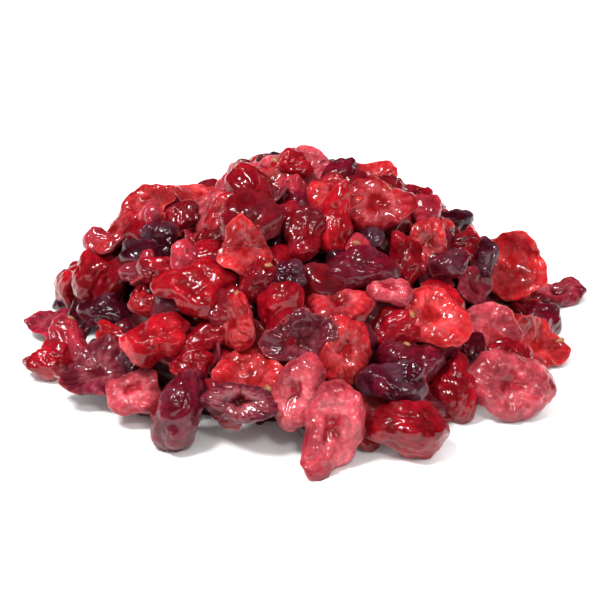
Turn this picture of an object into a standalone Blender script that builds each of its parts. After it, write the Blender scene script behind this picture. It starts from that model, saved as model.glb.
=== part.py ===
"""A loose heap of dried cranberries, lying as it was poured, as one closed solid.

The fruit is sliced and dried: flat slices with a hollow middle, skins that stand up as domes, open cups,
curled strips and shrivelled lumps. Every piece starts as a ball of few faces that takes the form of its kind.
The pieces are laid one after another on the ground, on the heap's core and on each other, from the foot up.
Lengths are in metres. +Z is up, the side that a viewer faces is towards -Y, and +X is to the viewer's right.
"""
import math
import random
from typing import NamedTuple

import bmesh
import bpy
import numpy as np
from mathutils import Matrix

MM = 0.001
DRAW_SEED = 5

# The heap's smooth outline: a flat crest with slopes of nearly constant steepness down to the foot.
CREST_X = -6 * MM
CREST_Y = -11 * MM
LEFT_REACH = 51 * MM
RIGHT_REACH = 64 * MM
FRONT_REACH = 60 * MM
BACK_REACH = 46 * MM
HEAP_HEIGHT = 37 * MM
SHOULDER_X = -18 * MM
SHOULDER_HEIGHT = 26 * MM
CREST_SHARE = 0.36
CREST_SOFTNESS = 0.25

# How closely the pieces lie: on the core, this far under the outline, on the ground and on each other.
COVER_DEPTH = 10 * MM
PRESSED = 0.84
GROUND_PRESSED = 0.9
NEIGHBOUR_REACH = 22 * MM

# A piece that shows slides down its line of sight, from a first to a last step about the outline.
SLIDE_STEP = 1 * MM
SLIDE_FIRST = -18
SLIDE_LAST = 10
SLIDE_LAST_MISSED = 1
STAND_OUT = 2.5 * MM
SINK_IN = 3.2 * MM

# A piece that falls: how far it may stand out and lie in, how it shifts and turns, how often it is tried.
FALL_STAND_OUT = 1.2 * MM
FALL_LIE_IN = 1.8 * MM
FALL_SHIFT = 2 * MM
FALL_LEAN = 14
FALL_TOWARDS = 30
FALL_SPIN = 40
FALLS_TRIED = 8
SPOTS_TRIED = 5000

# A drawn piece that shows beyond the outline in the photograph is pressed in. So is a piece that hangs apart, a
# shown one along its line of sight at first, until one of its balls is held. The core holds it this far under
# the outline or this low over the ground, out to a share of the way to the foot. Another piece's ball holds it
# where their middles are no further apart than a share of both radii.
HELD_DEPTH = 5 * MM
HELD_LEVEL = 1.9 * MM
HELD_REACH = 0.85
JOINED = 0.44
PRESS_STEP = 0.4 * MM
PRESS_STEPS = 24
SIGHT_STEPS = 15

# The heap's middle in the frame in which it is laid, which becomes the origin.
MIDDLE_X = 2.23 * MM
MIDDLE_Y = -16.17 * MM

# Where the heap was looked at from, for the places of the pieces that show.
VIEW_DISTANCE = 400 * MM
VIEW_ANGLE = math.radians(28)
VIEW_FOCAL_PX = 1840
VIEW_MIDDLE_PX = 300

# The outline in the photograph, in pixels from left to right: over the crest and round the foot.
CREST_LINE = [(20, 317), (52, 306), (62, 282), (80, 252), (110, 221), (130, 186), (150, 173), (180, 187),
              (220, 179), (245, 152), (280, 151), (325, 139), (345, 160), (390, 147), (410, 184), (450, 196),
              (500, 222), (540, 262), (580, 288)]
FOOT_LINE = [(30, 379), (90, 378), (130, 408), (165, 456), (190, 422), (215, 408), (285, 420), (320, 474),
             (390, 462), (450, 420), (530, 416), (580, 374)]

# Every piece: the least thickness, how uneven its outline and its rim are, and the balls in it.
THINNEST = 2 * MM
OUTLINE_LOBES = [(2, 0.06), (3, 0.10), (4, 0.07), (5, 0.05)]
RIM_WAVES = [(3, 0.07), (5, 0.03)]
SADDLE = 0.13
BALL_RINGS = [(9, 0.80), (5, 0.42), (1, 0.0)]

# The section of a piece from its middle, 0, to its rim, 1: its rounded edge, raised rim and hollow.
SIDE_FLATNESS = 2.8
SIDE_ROUNDNESS = 0.58
RIM_PLACE = 0.72
RIM_SPREAD = 0.22
RIM_RISE = 0.25
HOLLOW_SPREAD = 0.36
HOLLOW_ROOMS = 0.12
HOLLOW_BEHIND = 0.4

# The solid: the core that the pieces are joined to, and the few faces of each piece. Their corners lie a little
# outside its smooth form, so that their middles don't lie far inside it.
FUSED_CORE_DEPTH = 4 * MM
CORE_SHARE = 0.88
CORE_EDGE = 2 * MM
CORE_SIDES = 24
CORE_RINGS = 10
PIECE_SIDES = 8
SMALL_SIDES = 6
SMALL_LENGTH = 13.8 * MM
PIECE_RINGS = 4
SIDE_RING = 0.78
FACET_GAIN = 1.05
GROUND_BLOCK = (300 * MM, 300 * MM, 20 * MM)

FLESH_COLOUR = (0.55, 0.03, 0.05, 1)
FLESH_ROUGHNESS = 0.3
PART_NAME = "cranberry_heap"


class Kind(NamedTuple):
    """How a kind of piece grows from its length."""

    width: float      # share of the length
    thickness: float  # share of the length
    dish: float       # drop of the rim behind the face that shows, share of the length
    hollow: float     # depth of the middle hollow, share of the thickness
    fold: float       # bend about the long axis, in radians at the edge
    dents: int        # how many dents its shrinking left
    dent: float       # depth of a dent, share of the distance from the middle


KINDS = {
    "slice": Kind(0.84, 0.22, 0.03, 0.80, 0.25, 2, 0.12),
    "cap": Kind(0.84, 0.27, 0.22, 0.00, 0.35, 4, 0.18),
    "cup": Kind(0.86, 0.20, -0.20, 0.30, 0.50, 3, 0.16),
    "curl": Kind(0.70, 0.19, 0.02, 0.15, 1.35, 2, 0.12),
    "lump": Kind(0.76, 0.40, 0.06, 0.00, 0.30, 6, 0.24),
}
KIND_SHARES = {"slice": 3, "cap": 4, "cup": 3, "curl": 2, "lump": 3}


class Shown(NamedTuple):
    """A piece that shows: its middle in pixels of the 600 by 600 photograph, then millimetres and degrees."""

    kind: str
    across_px: int
    down_px: int
    length: float
    width: float
    lean: float
    towards: float
    spin: float


class Layer(NamedTuple):
    """Pieces scattered over the heap and dropped on it."""

    spacing: float  # least distance between two spots
    reach: float    # how far out they lie behind the crest, 1 at the foot
    front: float    # how far out they lie before it
    clear: float    # distance kept from the pieces that show
    shortest: float
    longest: float
    lean_from: float
    lean_to: float
    sink: float     # how far they lie under the outline
    fused: bool     # whether they are joined to the solid


DEEP = Layer(6.8 * MM, 0.84, 0.82, 0, 9 * MM, 13 * MM, -10, 10, 6.5 * MM, False)
BETWEEN = Layer(5.8 * MM, 0.9, 0.66, 4.4 * MM, 8 * MM, 12 * MM, -10, 20, 2.8 * MM, False)
HIDDEN_SIDES = Layer(6.6 * MM, 0.92, 0.68, 7 * MM, 11.5 * MM, 16 * MM, -15, 25, -0.5 * MM, True)

FOOT = [
    Shown("slice", 333, 439, 19.5, 12.5, 62, 0, 88),
    Shown("slice", 297, 396, 15.0, 10.0, 64, -15, 80),
    Shown("cap", 409, 431, 16.0, 13.5, 50, 8, 165),
    Shown("lump", 393, 388, 13.5, 10.0, 25, 0, 0),
    Shown("slice", 242, 405, 15.0, 7.0, 62, -5, 0),
    Shown("cup", 250, 384, 14.5, 11.5, 36, -10, 8),
    Shown("curl", 222, 410, 12.0, 6.0, 60, -20, -50),
    Shown("cap", 162, 430, 17.0, 12.0, 56, -15, 72),
    Shown("slice", 135, 392, 12.0, 10.0, 42, -20, 20),
    Shown("lump", 193, 368, 8.5, 6.5, 40, -10, 10),
    Shown("cup", 93, 371, 13.5, 10.0, 22, -10, 0),
    Shown("lump", 34, 364, 11.0, 9.5, 30, -20, 0),
    Shown("slice", 520, 391, 18.5, 14.0, 52, 15, -18),
    Shown("cap", 481, 402, 14.0, 11.0, 58, 10, 80),
]
LEFT_SIDE = [
    Shown("cup", 31, 326, 9.5, 8.5, 15, -20, 0),
    Shown("curl", 62, 337, 13.0, 8.0, 42, -20, -35),
    Shown("cap", 105, 314, 10.5, 9.0, 32, -10, 0),
    Shown("lump", 110, 334, 6.5, 5.5, 40, 0, 0),
    Shown("cap", 153, 342, 14.0, 12.0, 42, -10, 15),
    Shown("cap", 93, 280, 13.0, 11.5, 55, -30, 60),
    Shown("lump", 100, 249, 8.0, 6.5, 40, -20, 0),
    Shown("curl", 130, 264, 9.0, 7.0, 55, -20, 30),
    Shown("lump", 135, 293, 8.0, 6.5, 40, 0, 80),
    Shown("lump", 148, 308, 7.0, 6.0, 40, 0, 0),
    Shown("cup", 145, 172, 12.0, 10.5, 42, -25, 10),
    Shown("curl", 120, 227, 14.0, 7.0, 62, -45, 84),
    Shown("cap", 139, 231, 9.5, 8.0, 56, -20, 60),
    Shown("lump", 168, 207, 8.5, 6.5, 45, -10, 70),
    Shown("slice", 203, 210, 10.5, 9.5, 62, -5, 60),
    Shown("slice", 228, 221, 10.5, 9.0, 55, 12, 20),
    Shown("lump", 171, 236, 7.0, 6.0, 45, 0, 20),
    Shown("lump", 212, 243, 8.0, 6.5, 45, 0, 10),
    Shown("curl", 184, 262, 8.5, 5.5, 50, 0, 80),
    Shown("cap", 156, 275, 8.5, 7.0, 50, -10, 10),
]
MIDDLE = [
    Shown("slice", 236, 325, 12.5, 10.5, 80, -55, 75),
    Shown("curl", 279, 322, 15.5, 9.5, 62, -10, 86),
    Shown("curl", 198, 341, 12.5, 8.0, 50, -5, 45),
    Shown("curl", 195, 292, 15.5, 10.5, 40, -5, 12),
    Shown("cap", 206, 263, 14.0, 9.0, 36, 0, 5),
    Shown("cup", 244, 254, 11.5, 8.0, 52, 20, 40),
    Shown("cap", 258, 280, 10.0, 9.0, 50, 0, 60),
    Shown("lump", 288, 278, 7.0, 6.0, 45, 0, 0),
    Shown("slice", 345, 350, 13.0, 10.5, 62, 5, 86),
    Shown("cup", 301, 345, 12.0, 10.5, 56, 0, 80),
    Shown("slice", 340, 309, 13.5, 12.0, 14, 0, 0),
    Shown("cap", 358, 272, 16.0, 13.0, 44, 0, 10),
    Shown("curl", 406, 265, 11.0, 8.0, 56, 10, 82),
    Shown("slice", 388, 294, 9.0, 7.0, 15, 10, -20),
    Shown("curl", 395, 331, 12.5, 9.5, 50, 0, 20),
    Shown("cup", 433, 319, 14.0, 12.0, 44, 10, 5),
    Shown("cap", 409, 368, 14.0, 12.0, 50, 0, 10),
    Shown("curl", 448, 350, 9.0, 6.0, 40, 10, 20),
]
RIGHT_SIDE = [
    Shown("cup", 564, 350, 12, 10.0, 44, 40, 60),
    Shown("cap", 553, 317, 12, 10.5, 46, 35, 10),
    Shown("cup", 505, 328, 13.0, 10.0, 42, 18, 5),
    Shown("curl", 505, 356, 11.0, 6.5, 45, 15, -5),
    Shown("cup", 509, 270, 15.0, 13.0, 58, -25, 85),
    Shown("cup", 551, 273, 8.0, 6.5, 60, 60, 60),
    Shown("slice", 566, 295, 13.5, 7.5, 10, 20, 0),
    Shown("cap", 486, 261, 9.0, 5.5, 55, 10, 84),
    Shown("cap", 450, 268, 9.0, 8.0, 45, 10, 10),
    Shown("lump", 465, 250, 8.0, 6.0, 45, 10, 10),
    Shown("curl", 472, 348, 7.0, 5.0, 45, 0, 80),
]
CREST = [
    Shown("slice", 257, 169, 12.5, 10.0, 38, -5, 0),
    Shown("cap", 251, 199, 17.0, 10.0, 56, -5, 128),
    Shown("cup", 324, 149, 10.0, 8.5, 32, 0, 0),
    Shown("lump", 296, 168, 7.0, 6.0, 45, 0, 0),
    Shown("curl", 317, 179, 8.5, 6.0, 50, 0, 84),
    Shown("slice", 351, 180, 10.0, 8.5, 56, 12, 20),
    Shown("cap", 294, 207, 8.0, 7.0, 45, 0, 5),
    Shown("lump", 302, 238, 12.0, 10.5, 50, 0, 70),
    Shown("curl", 335, 226, 15.0, 7.5, 60, 5, 86),
    Shown("lump", 375, 240, 7.5, 6.0, 45, 0, 80),
    Shown("cup", 382, 172, 12.0, 8.5, 26, 5, 0),
    Shown("slice", 379, 210, 15.0, 11.5, 54, 5, 8),
    Shown("lump", 424, 210, 9.5, 8.5, 45, 10, 60),
    Shown("lump", 421, 195, 8.0, 6.5, 45, 10, 0),
    Shown("slice", 431, 244, 10.5, 8.5, 66, 12, 80),
    Shown("cap", 463, 210, 10.5, 9.0, 46, 20, 0),
    Shown("cap", 455, 232, 7.0, 5.5, 45, 20, 10),
    Shown("slice", 486, 229, 11.0, 7.5, 64, 35, 80),
]


def outness(x, y):
    """0 at the middle of the crest and 1 all round the foot."""
    across = np.asarray(x) - CREST_X
    along = np.asarray(y) - CREST_Y
    reach_x = np.where(across < 0, LEFT_REACH, RIGHT_REACH)
    reach_y = np.where(along < 0, FRONT_REACH, BACK_REACH)
    return np.sqrt((across / reach_x) ** 2 + (along / reach_y) ** 2)


def mound(x, y):
    """Height of the heap's smooth outline over a spot: a flat crest, and a lower shoulder to its left."""
    fall = np.clip((outness(x, y) - CREST_SHARE) / (1 - CREST_SHARE), -CREST_SHARE, 1)
    soft_fall = 0.5 * (fall + np.sqrt(fall**2 + CREST_SOFTNESS**2))
    shoulder = SHOULDER_HEIGHT + np.maximum(np.asarray(x) - SHOULDER_X, 0)
    return np.minimum(HEAP_HEIGHT * np.clip(1 - soft_fall, 0, 1), shoulder)


def core_top(x, y):
    """Height of the core over a spot, 0 outside it."""
    return np.maximum(mound(x, y) - COVER_DEPTH, 0)


def downhill(x, y):
    """The outline's slope at a spot and the bearing that it faces, in degrees: 0 to the front, 90 to +X."""
    step = 1 * MM
    rise_x = float(mound(x + step, y) - mound(x - step, y)) / (2 * step)
    rise_y = float(mound(x, y + step) - mound(x, y - step)) / (2 * step)
    return math.degrees(math.atan(math.hypot(rise_x, rise_y))), math.degrees(math.atan2(-rise_x, rise_y))


class Piece:
    """One dried cranberry: the sizes drawn for it, and where it lies once it is laid."""

    def __init__(self, kind_name, length, width, draw):
        kind = KINDS[kind_name]
        self.kind_name = kind_name
        self.fused = True
        self.drawn = False
        self.sight = None
        self.half_length = 0.5 * length
        self.half_width = 0.5 * (width or length * kind.width * draw.uniform(0.9, 1.1))
        self.thickness = max(THINNEST, length * kind.thickness * draw.uniform(0.85, 1.15))
        self.dish = length * kind.dish * draw.uniform(0.7, 1.3)
        self.hollow = kind.hollow * draw.uniform(0.75, 1.25)
        self.bend = kind.fold * draw.uniform(0.7, 1.3) / self.half_width
        self.saddle = length * draw.uniform(-SADDLE, SADDLE)
        self.saddle_turn = draw.uniform(0, math.pi)
        self.lobes = [(count, share * draw.uniform(0.2, 1.0), draw.uniform(0, 2 * math.pi))
                      for count, share in OUTLINE_LOBES]
        self.waves = [(count, length * share * draw.uniform(0.3, 1.0), draw.uniform(0, 2 * math.pi))
                      for count, share in RIM_WAVES]
        self.seed_rooms = draw.choice((3, 4))
        self.seed_rooms_turn = draw.uniform(0, math.pi)
        self.dents = [(random_direction(draw), kind.dent * draw.uniform(0.4, 1.0), draw.uniform(0.45, 0.8))
                      for _ in range(kind.dents)]
        self.offset = np.zeros(3)
        self.place = np.zeros(3)
        self.axes = np.eye(3)
        middles, self.ball_radii = self.fill_with_balls()
        self.offset = 0.5 * (middles.min(0) + middles.max(0))
        self.ball_middles = middles - self.offset

    def form(self, ball):
        """Carries points of a unit ball to the piece's own form, its shown face up."""
        up = ball[:, 2]
        turn = np.arctan2(ball[:, 1], ball[:, 0])
        out = np.sqrt(np.clip(1 - np.abs(up), 0, 1))
        outline = 1 + sum(size * np.cos(count * turn + start) for count, size, start in self.lobes)
        x = self.half_length * outline * out * np.cos(turn)
        y = self.half_width * outline * out * np.sin(turn)
        side = np.sign(up) * np.clip(1 - out**SIDE_FLATNESS, 0, 1) ** SIDE_ROUNDNESS
        rim = 1 + RIM_RISE * np.exp(-(((out - RIM_PLACE) / RIM_SPREAD) ** 2))
        rooms = 1 + HOLLOW_ROOMS * np.cos(self.seed_rooms * turn + self.seed_rooms_turn)
        pit = np.where(up > 0, 1, HOLLOW_BEHIND) * self.hollow * np.exp(-((out / HOLLOW_SPREAD) ** 2)) * rooms
        z = 0.5 * self.thickness * side * (rim - pit)
        shrink = np.ones(len(ball))
        for direction, depth, spread in self.dents:
            shrink -= depth * np.exp(-((ball - direction) ** 2).sum(1) / spread**2)
        x, y, z = x * shrink, y * shrink, z * shrink
        z = z - self.dish * out**2
        z += self.saddle * out**2 * np.cos(2 * (turn - self.saddle_turn))
        z += sum(size * out**3 * np.cos(count * turn + start) for count, size, start in self.waves)
        angle = y * self.bend
        arm = 1 / self.bend + z
        bent = np.stack([x, arm * np.sin(angle), arm * np.cos(angle) - 1 / self.bend], 1)
        return bent - self.offset

    def fill_with_balls(self):
        """Balls inside the piece, by which it rests on others: their middles and radii."""
        spots = []
        for count, out in BALL_RINGS:
            for step in range(count):
                turn = 2 * math.pi * step / count
                up = 1 - out**2
                level = math.sqrt(1 - up * up)
                spots.append((level * math.cos(turn), level * math.sin(turn), up))
        upper = self.form(np.array(spots))
        lower = self.form(np.array(spots) * [1, 1, -1])
        radii = np.maximum(0.5 * np.linalg.norm(upper - lower, axis=1), THINNEST / 2)
        return 0.5 * (upper + lower), radii

    def face(self, lean, towards, spin):
        """Leans the piece's face from the vertical towards a bearing, and spins its length in the face."""
        lean, towards, spin = math.radians(lean), math.radians(towards), math.radians(spin)
        level = np.array([math.cos(towards), math.sin(towards), 0])
        out = math.sin(lean)
        face = np.array([out * math.sin(towards), -out * math.cos(towards), math.cos(lean)])
        length = math.cos(spin) * level + math.sin(spin) * np.cross(face, level)
        self.axes = np.stack([length, np.cross(face, length), face], 1)

    def balls_in_place(self):
        """The middles of the piece's balls where it lies."""
        return self.ball_middles @ self.axes.T + self.place

    def stands_out(self):
        """True where a ball of the piece would show beyond the outline in the photograph."""
        spots = self.balls_in_place()
        cos_angle, sin_angle = math.cos(VIEW_ANGLE), math.sin(VIEW_ANGLE)
        scale = VIEW_FOCAL_PX / (VIEW_DISTANCE + spots[:, 1] * cos_angle - spots[:, 2] * sin_angle)
        across = VIEW_MIDDLE_PX + scale * spots[:, 0]
        down = VIEW_MIDDLE_PX - scale * (spots[:, 2] * cos_angle + spots[:, 1] * sin_angle)
        over_crest = down - scale * self.ball_radii < np.interp(across, *zip(*CREST_LINE))
        under_foot = down + scale * self.ball_radii > np.interp(across, *zip(*FOOT_LINE))
        return bool((over_crest | under_foot).any())

    def press_in(self, lies_well):
        """Moves the piece along its line of sight, or else down and towards the crest, until it lies well."""
        turned = self.ball_middles @ self.axes.T
        ground = (GROUND_PRESSED * self.ball_radii - turned[:, 2]).max()
        first = self.place
        for _ in range(SIGHT_STEPS if self.sight is not None else 0):
            if lies_well(self):
                return
            self.place = self.place + PRESS_STEP * self.sight
            self.place[2] = max(self.place[2], ground)
        self.place = first
        for _ in range(PRESS_STEPS):
            if lies_well(self):
                return
            inward = np.array([CREST_X, CREST_Y]) - self.place[:2]
            inward *= PRESS_STEP / max(np.linalg.norm(inward), PRESS_STEP)
            self.place = self.place + [*inward, -PRESS_STEP]
            self.place[2] = max(self.place[2], ground)

    def points(self, ball):
        """Where the points of a unit ball come to lie on the piece in the heap."""
        return self.form(ball) @ self.axes.T + self.place


class Heap:
    """The pieces laid so far, and the balls that the next piece rests on."""

    def __init__(self):
        self.pieces = []
        self.middles = np.zeros((0, 3))
        self.radii = np.zeros(0)

    def rest_height(self, spots, radii):
        """The least height at which balls at these spots clear the ground, the core and the pieces laid."""
        core = core_top(spots[:, 0], spots[:, 1]) + PRESSED * radii
        height = (np.maximum(GROUND_PRESSED * radii, core) - spots[:, 2]).max()
        near = np.abs(self.middles[:, :2] - spots[:, :2].mean(0)).max(1) < NEIGHBOUR_REACH
        if near.any():
            others, reach = self.middles[near], PRESSED * (radii[:, None] + self.radii[near])
            apart = ((spots[:, None, :2] - others[None, :, :2]) ** 2).sum(2)
            top = others[:, 2] + np.sqrt(np.clip(reach**2 - apart, 0, None)) - spots[:, None, 2]
            height = max(height, np.where(apart < reach**2, top, height).max())
        return height

    def reaches(self, piece, balls):
        """True where a piece's balls reach well into the fused core or into the given balls."""
        spots = piece.balls_in_place()
        over_core = outness(spots[:, 0], spots[:, 1]) < HELD_REACH
        held_top = np.maximum(mound(spots[:, 0], spots[:, 1]) - HELD_DEPTH, HELD_LEVEL)
        if (over_core & (spots[:, 2] < held_top)).any():
            return True
        apart = np.linalg.norm(spots[:, None] - balls[:, :3], axis=2)
        return bool((apart < JOINED * (piece.ball_radii[:, None] + balls[:, 3])).any())

    def join_all(self):
        """Moves each fused piece that hangs apart down and towards the crest until it meets the rest."""
        loose = [piece for piece in self.pieces if piece.fused]
        loose.sort(key=lambda piece: outness(*piece.place[:2]))
        joined = np.zeros((0, 4))
        while loose:
            piece = next((piece for piece in loose if self.reaches(piece, joined)), None)
            if piece is None:
                piece = loose[0]
                piece.press_in(lambda moved: self.reaches(moved, joined))
            loose.remove(piece)
            joined = np.vstack([joined, np.column_stack([piece.balls_in_place(), piece.ball_radii])])

    def add(self, piece):
        self.pieces.append(piece)
        self.middles = np.vstack([self.middles, piece.balls_in_place()])
        self.radii = np.concatenate([self.radii, piece.ball_radii])

    def lay_shown(self, shown):
        """Brings a piece down its line of sight, and leaves it where it first rests."""
        draw = random.Random(f"{shown.across_px} {shown.down_px}")
        piece = Piece(shown.kind, shown.length * MM, shown.width * MM, draw)
        piece.face(shown.lean, shown.towards, shown.spin)
        spots = piece.ball_middles @ piece.axes.T
        ground = (GROUND_PRESSED * piece.ball_radii - spots[:, 2]).max()
        base, ray, meets = meet_outline(shown.across_px, shown.down_px)
        for step in range(SLIDE_FIRST, SLIDE_LAST if meets else SLIDE_LAST_MISSED):
            place = base + ray * step * SLIDE_STEP
            high = place[2] - float(mound(place[0], place[1]))
            rest = self.rest_height(spots + [place[0], place[1], 0], piece.ball_radii)
            if place[2] <= ground or high < -SINK_IN or (rest > place[2] and high < STAND_OUT):
                break
        lifted = min(max(rest, place[2]), place[2] + SLIDE_STEP)
        place[2] = max(ground, lifted if meets else rest)
        piece.place = place
        piece.sight = ray
        self.add(piece)

    def lay_dropped(self, spot, layer, draw):
        """Drops a piece on a spot, and keeps the lowest of a few shifts and turns."""
        kind_name = draw.choices(list(KIND_SHARES), list(KIND_SHARES.values()))[0]
        piece = Piece(kind_name, draw.uniform(layer.shortest, layer.longest), None, draw)
        piece.fused = layer.fused
        piece.drawn = True
        slope, bearing = downhill(*spot)
        lean = slope + draw.uniform(layer.lean_from, layer.lean_to)
        spin = draw.uniform(0, 180)
        lowest = None
        for _ in range(FALLS_TRIED):
            piece.face(lean + draw.uniform(-FALL_LEAN, FALL_LEAN),
                       bearing + draw.uniform(-FALL_TOWARDS, FALL_TOWARDS),
                       spin + draw.uniform(-FALL_SPIN, FALL_SPIN))
            x = spot[0] + draw.uniform(-FALL_SHIFT, FALL_SHIFT)
            y = spot[1] + draw.uniform(-FALL_SHIFT, FALL_SHIFT)
            spots = piece.ball_middles @ piece.axes.T
            ground = (GROUND_PRESSED * piece.ball_radii - spots[:, 2]).max()
            level = float(mound(x, y)) - layer.sink
            z = self.rest_height(spots + [x, y, 0], piece.ball_radii)
            z = max(ground, level - FALL_LIE_IN, min(z, level + FALL_STAND_OUT))
            if lowest is None or z < lowest[0][2]:
                lowest = (np.array([x, y, z]), piece.axes)
        piece.place, piece.axes = lowest
        self.add(piece)


def random_direction(draw):
    """A direction drawn evenly over a ball."""
    up = draw.uniform(-1, 1)
    turn = draw.uniform(0, 2 * math.pi)
    level = math.sqrt(1 - up * up)
    return np.array([level * math.cos(turn), level * math.sin(turn), up])


def meet_outline(across_px, down_px):
    """Where the line of sight through a pixel meets the outline or is closest, its way, and if it meets."""
    cos_angle, sin_angle = math.cos(VIEW_ANGLE), math.sin(VIEW_ANGLE)
    eye = VIEW_DISTANCE * np.array([0, -cos_angle, sin_angle])
    right = (across_px - VIEW_MIDDLE_PX) / VIEW_FOCAL_PX
    rise = (VIEW_MIDDLE_PX - down_px) / VIEW_FOCAL_PX
    ray = np.array([right, cos_angle + rise * sin_angle, rise * cos_angle - sin_angle])
    ray /= np.linalg.norm(ray)
    along = eye + ray * np.arange(300, 430)[:, None] * MM
    high = along[:, 2] - mound(along[:, 0], along[:, 1])
    under = np.nonzero(high <= 0)[0]
    if len(under):
        return along[under[0]], ray, True
    return along[np.argmin(high)], ray, False


def scatter(layer, taken, draw):
    """Spots for a layer over the heap, spaced from each other and clear of the taken ones."""
    spots = []
    for _ in range(SPOTS_TRIED):
        spot = (draw.uniform(CREST_X - LEFT_REACH, CREST_X + RIGHT_REACH),
                draw.uniform(CREST_Y - FRONT_REACH, CREST_Y + BACK_REACH))
        reach = layer.front if spot[1] < CREST_Y else layer.reach
        if outness(*spot) > reach or any(math.dist(spot, other) < layer.spacing for other in spots):
            continue
        if not any(math.dist(spot, other) < layer.clear for other in taken):
            spots.append(spot)
    return sorted(spots, key=lambda spot: float(mound(*spot)))


def lay_heap():
    """Lays the deep pieces, those that fill between, then the shown ones with those of the hidden sides."""
    draw = random.Random(DRAW_SEED)
    heap = Heap()
    shown_pieces = FOOT + LEFT_SIDE + MIDDLE + RIGHT_SIDE + CREST
    taken = [tuple(meet_outline(shown.across_px, shown.down_px)[0][:2]) for shown in shown_pieces]
    for layer in (DEEP, BETWEEN):
        for spot in scatter(layer, taken, draw):
            heap.lay_dropped(spot, layer, draw)
    todo = [(float(mound(*spot)), shown) for spot, shown in zip(taken, shown_pieces)]
    todo += [(float(mound(*spot)), spot) for spot in scatter(HIDDEN_SIDES, taken, draw)]
    for _, item in sorted(todo, key=lambda pair: pair[0]):
        if isinstance(item, Shown):
            heap.lay_shown(item)
        else:
            heap.lay_dropped(item, HIDDEN_SIDES, draw)
    for piece in heap.pieces:
        if piece.drawn:
            piece.press_in(lambda moved: not moved.stands_out())
    heap.join_all()
    return heap.pieces


def unit_ball(sides):
    """A bmesh ball of few faces, and its points, with the rings beside the middle one moved near the rim."""
    ball = bmesh.new()
    bmesh.ops.create_uvsphere(ball, u_segments=sides, v_segments=PIECE_RINGS, radius=1)
    points = np.array([vertex.co for vertex in ball.verts])
    up = 1 - SIDE_RING**2
    for point in points:
        is_pole = math.hypot(point[0], point[1]) < SIDE_RING / 2
        is_middle_ring = abs(point[2]) < up / 2
        if not is_pole and not is_middle_ring:
            point[:2] *= math.sqrt(1 - up**2) / math.hypot(point[0], point[1])
            point[2] = math.copysign(up, point[2])
    return ball, points


def new_object(name, mesh, collection):
    """An object of its own for a mesh, in a collection."""
    thing = bpy.data.objects.new(name, mesh)
    collection.objects.link(thing)
    return thing


def make_piece(index, piece, collection):
    """One piece as a closed ball of few faces in its own form and place."""
    ball, points = unit_ball(PIECE_SIDES if 2 * piece.half_length > SMALL_LENGTH else SMALL_SIDES)
    for vertex, point in zip(ball.verts, piece.points(points)):
        vertex.co = piece.place + FACET_GAIN * (point - piece.place)
    bmesh.ops.triangulate(ball, faces=ball.faces)
    mesh = bpy.data.meshes.new(f"piece_{index:03d}")
    ball.to_mesh(mesh)
    ball.free()
    new_object(mesh.name, mesh, collection)


def make_core(collection):
    """The core: a ball flattened to the mound, with a level underside and a low upright edge."""
    core = bmesh.new()
    bmesh.ops.create_uvsphere(core, u_segments=CORE_SIDES, v_segments=CORE_RINGS, radius=1)
    for vertex in core.verts:
        up = round(vertex.co.z, 5)
        turn = math.atan2(vertex.co.y, vertex.co.x)
        out = CORE_SHARE * math.sqrt(1 - abs(up))
        x = CREST_X + out * math.cos(turn) * (LEFT_REACH if vertex.co.x < 0 else RIGHT_REACH)
        y = CREST_Y + out * math.sin(turn) * (FRONT_REACH if vertex.co.y < 0 else BACK_REACH)
        top = max(CORE_EDGE, float(mound(x, y)) - FUSED_CORE_DEPTH)
        vertex.co = (x, y, top if up > 0 else 0.5 * top if up == 0 else 0)
    bmesh.ops.triangulate(core, faces=core.faces)
    mesh = bpy.data.meshes.new(PART_NAME)
    core.to_mesh(mesh)
    core.free()
    return new_object(PART_NAME, mesh, collection)


def make_ground_cutter(collection):
    """A block under the ground, which levels the underside of what lies on it."""
    block = bmesh.new()
    bmesh.ops.create_cube(block, size=1)
    bmesh.ops.scale(block, vec=GROUND_BLOCK, verts=block.verts)
    bmesh.ops.translate(block, vec=(0, 0, -GROUND_BLOCK[2] / 2), verts=block.verts)
    mesh = bpy.data.meshes.new("ground_cutter")
    block.to_mesh(mesh)
    block.free()
    cutter = new_object("ground_cutter", mesh, collection)
    cutter.hide_render = True
    cutter.display_type = "WIRE"
    return cutter


def boolean(target, name, operation, **operand):
    """Adds one Boolean to an object."""
    modifier = target.modifiers.new(name, "BOOLEAN")
    modifier.operation = operation
    modifier.solver = "EXACT"
    for key, value in operand.items():
        setattr(modifier, key, value)


def apply_modifiers(thing):
    """Replaces an object's mesh by what its modifiers make of it."""
    graph = bpy.context.evaluated_depsgraph_get()
    mesh = bpy.data.meshes.new_from_object(thing.evaluated_get(graph))
    thing.modifiers.clear()
    thing.data = mesh


def islands(mesh):
    """The separate bodies of a bmesh, as lists of faces."""
    left = set(mesh.faces)
    while left:
        island, front = [], [left.pop()]
        while front:
            face = front.pop()
            island.append(face)
            for edge in face.edges:
                for other in edge.link_faces:
                    if other in left:
                        left.remove(other)
                        front.append(other)
        yield island


def keep_largest_body(thing):
    """Fills the hollows that the joining sealed and drops the loose scraps."""
    body = bmesh.new()
    body.from_mesh(thing.data)
    bmesh.ops.triangulate(body, faces=body.faces)
    parts = sorted(islands(body), key=len)
    for part in parts[:-1]:
        bmesh.ops.delete(body, geom=part, context="FACES")
    body.to_mesh(thing.data)
    body.free()


def flesh_material():
    """The fruit's glossy dark red."""
    material = bpy.data.materials.new("dried_cranberry")
    material.use_nodes = True
    shader = material.node_tree.nodes["Principled BSDF"]
    shader.inputs["Base Color"].default_value = FLESH_COLOUR
    shader.inputs["Roughness"].default_value = FLESH_ROUGHNESS
    shader.inputs["Metallic"].default_value = 0
    return material


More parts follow.
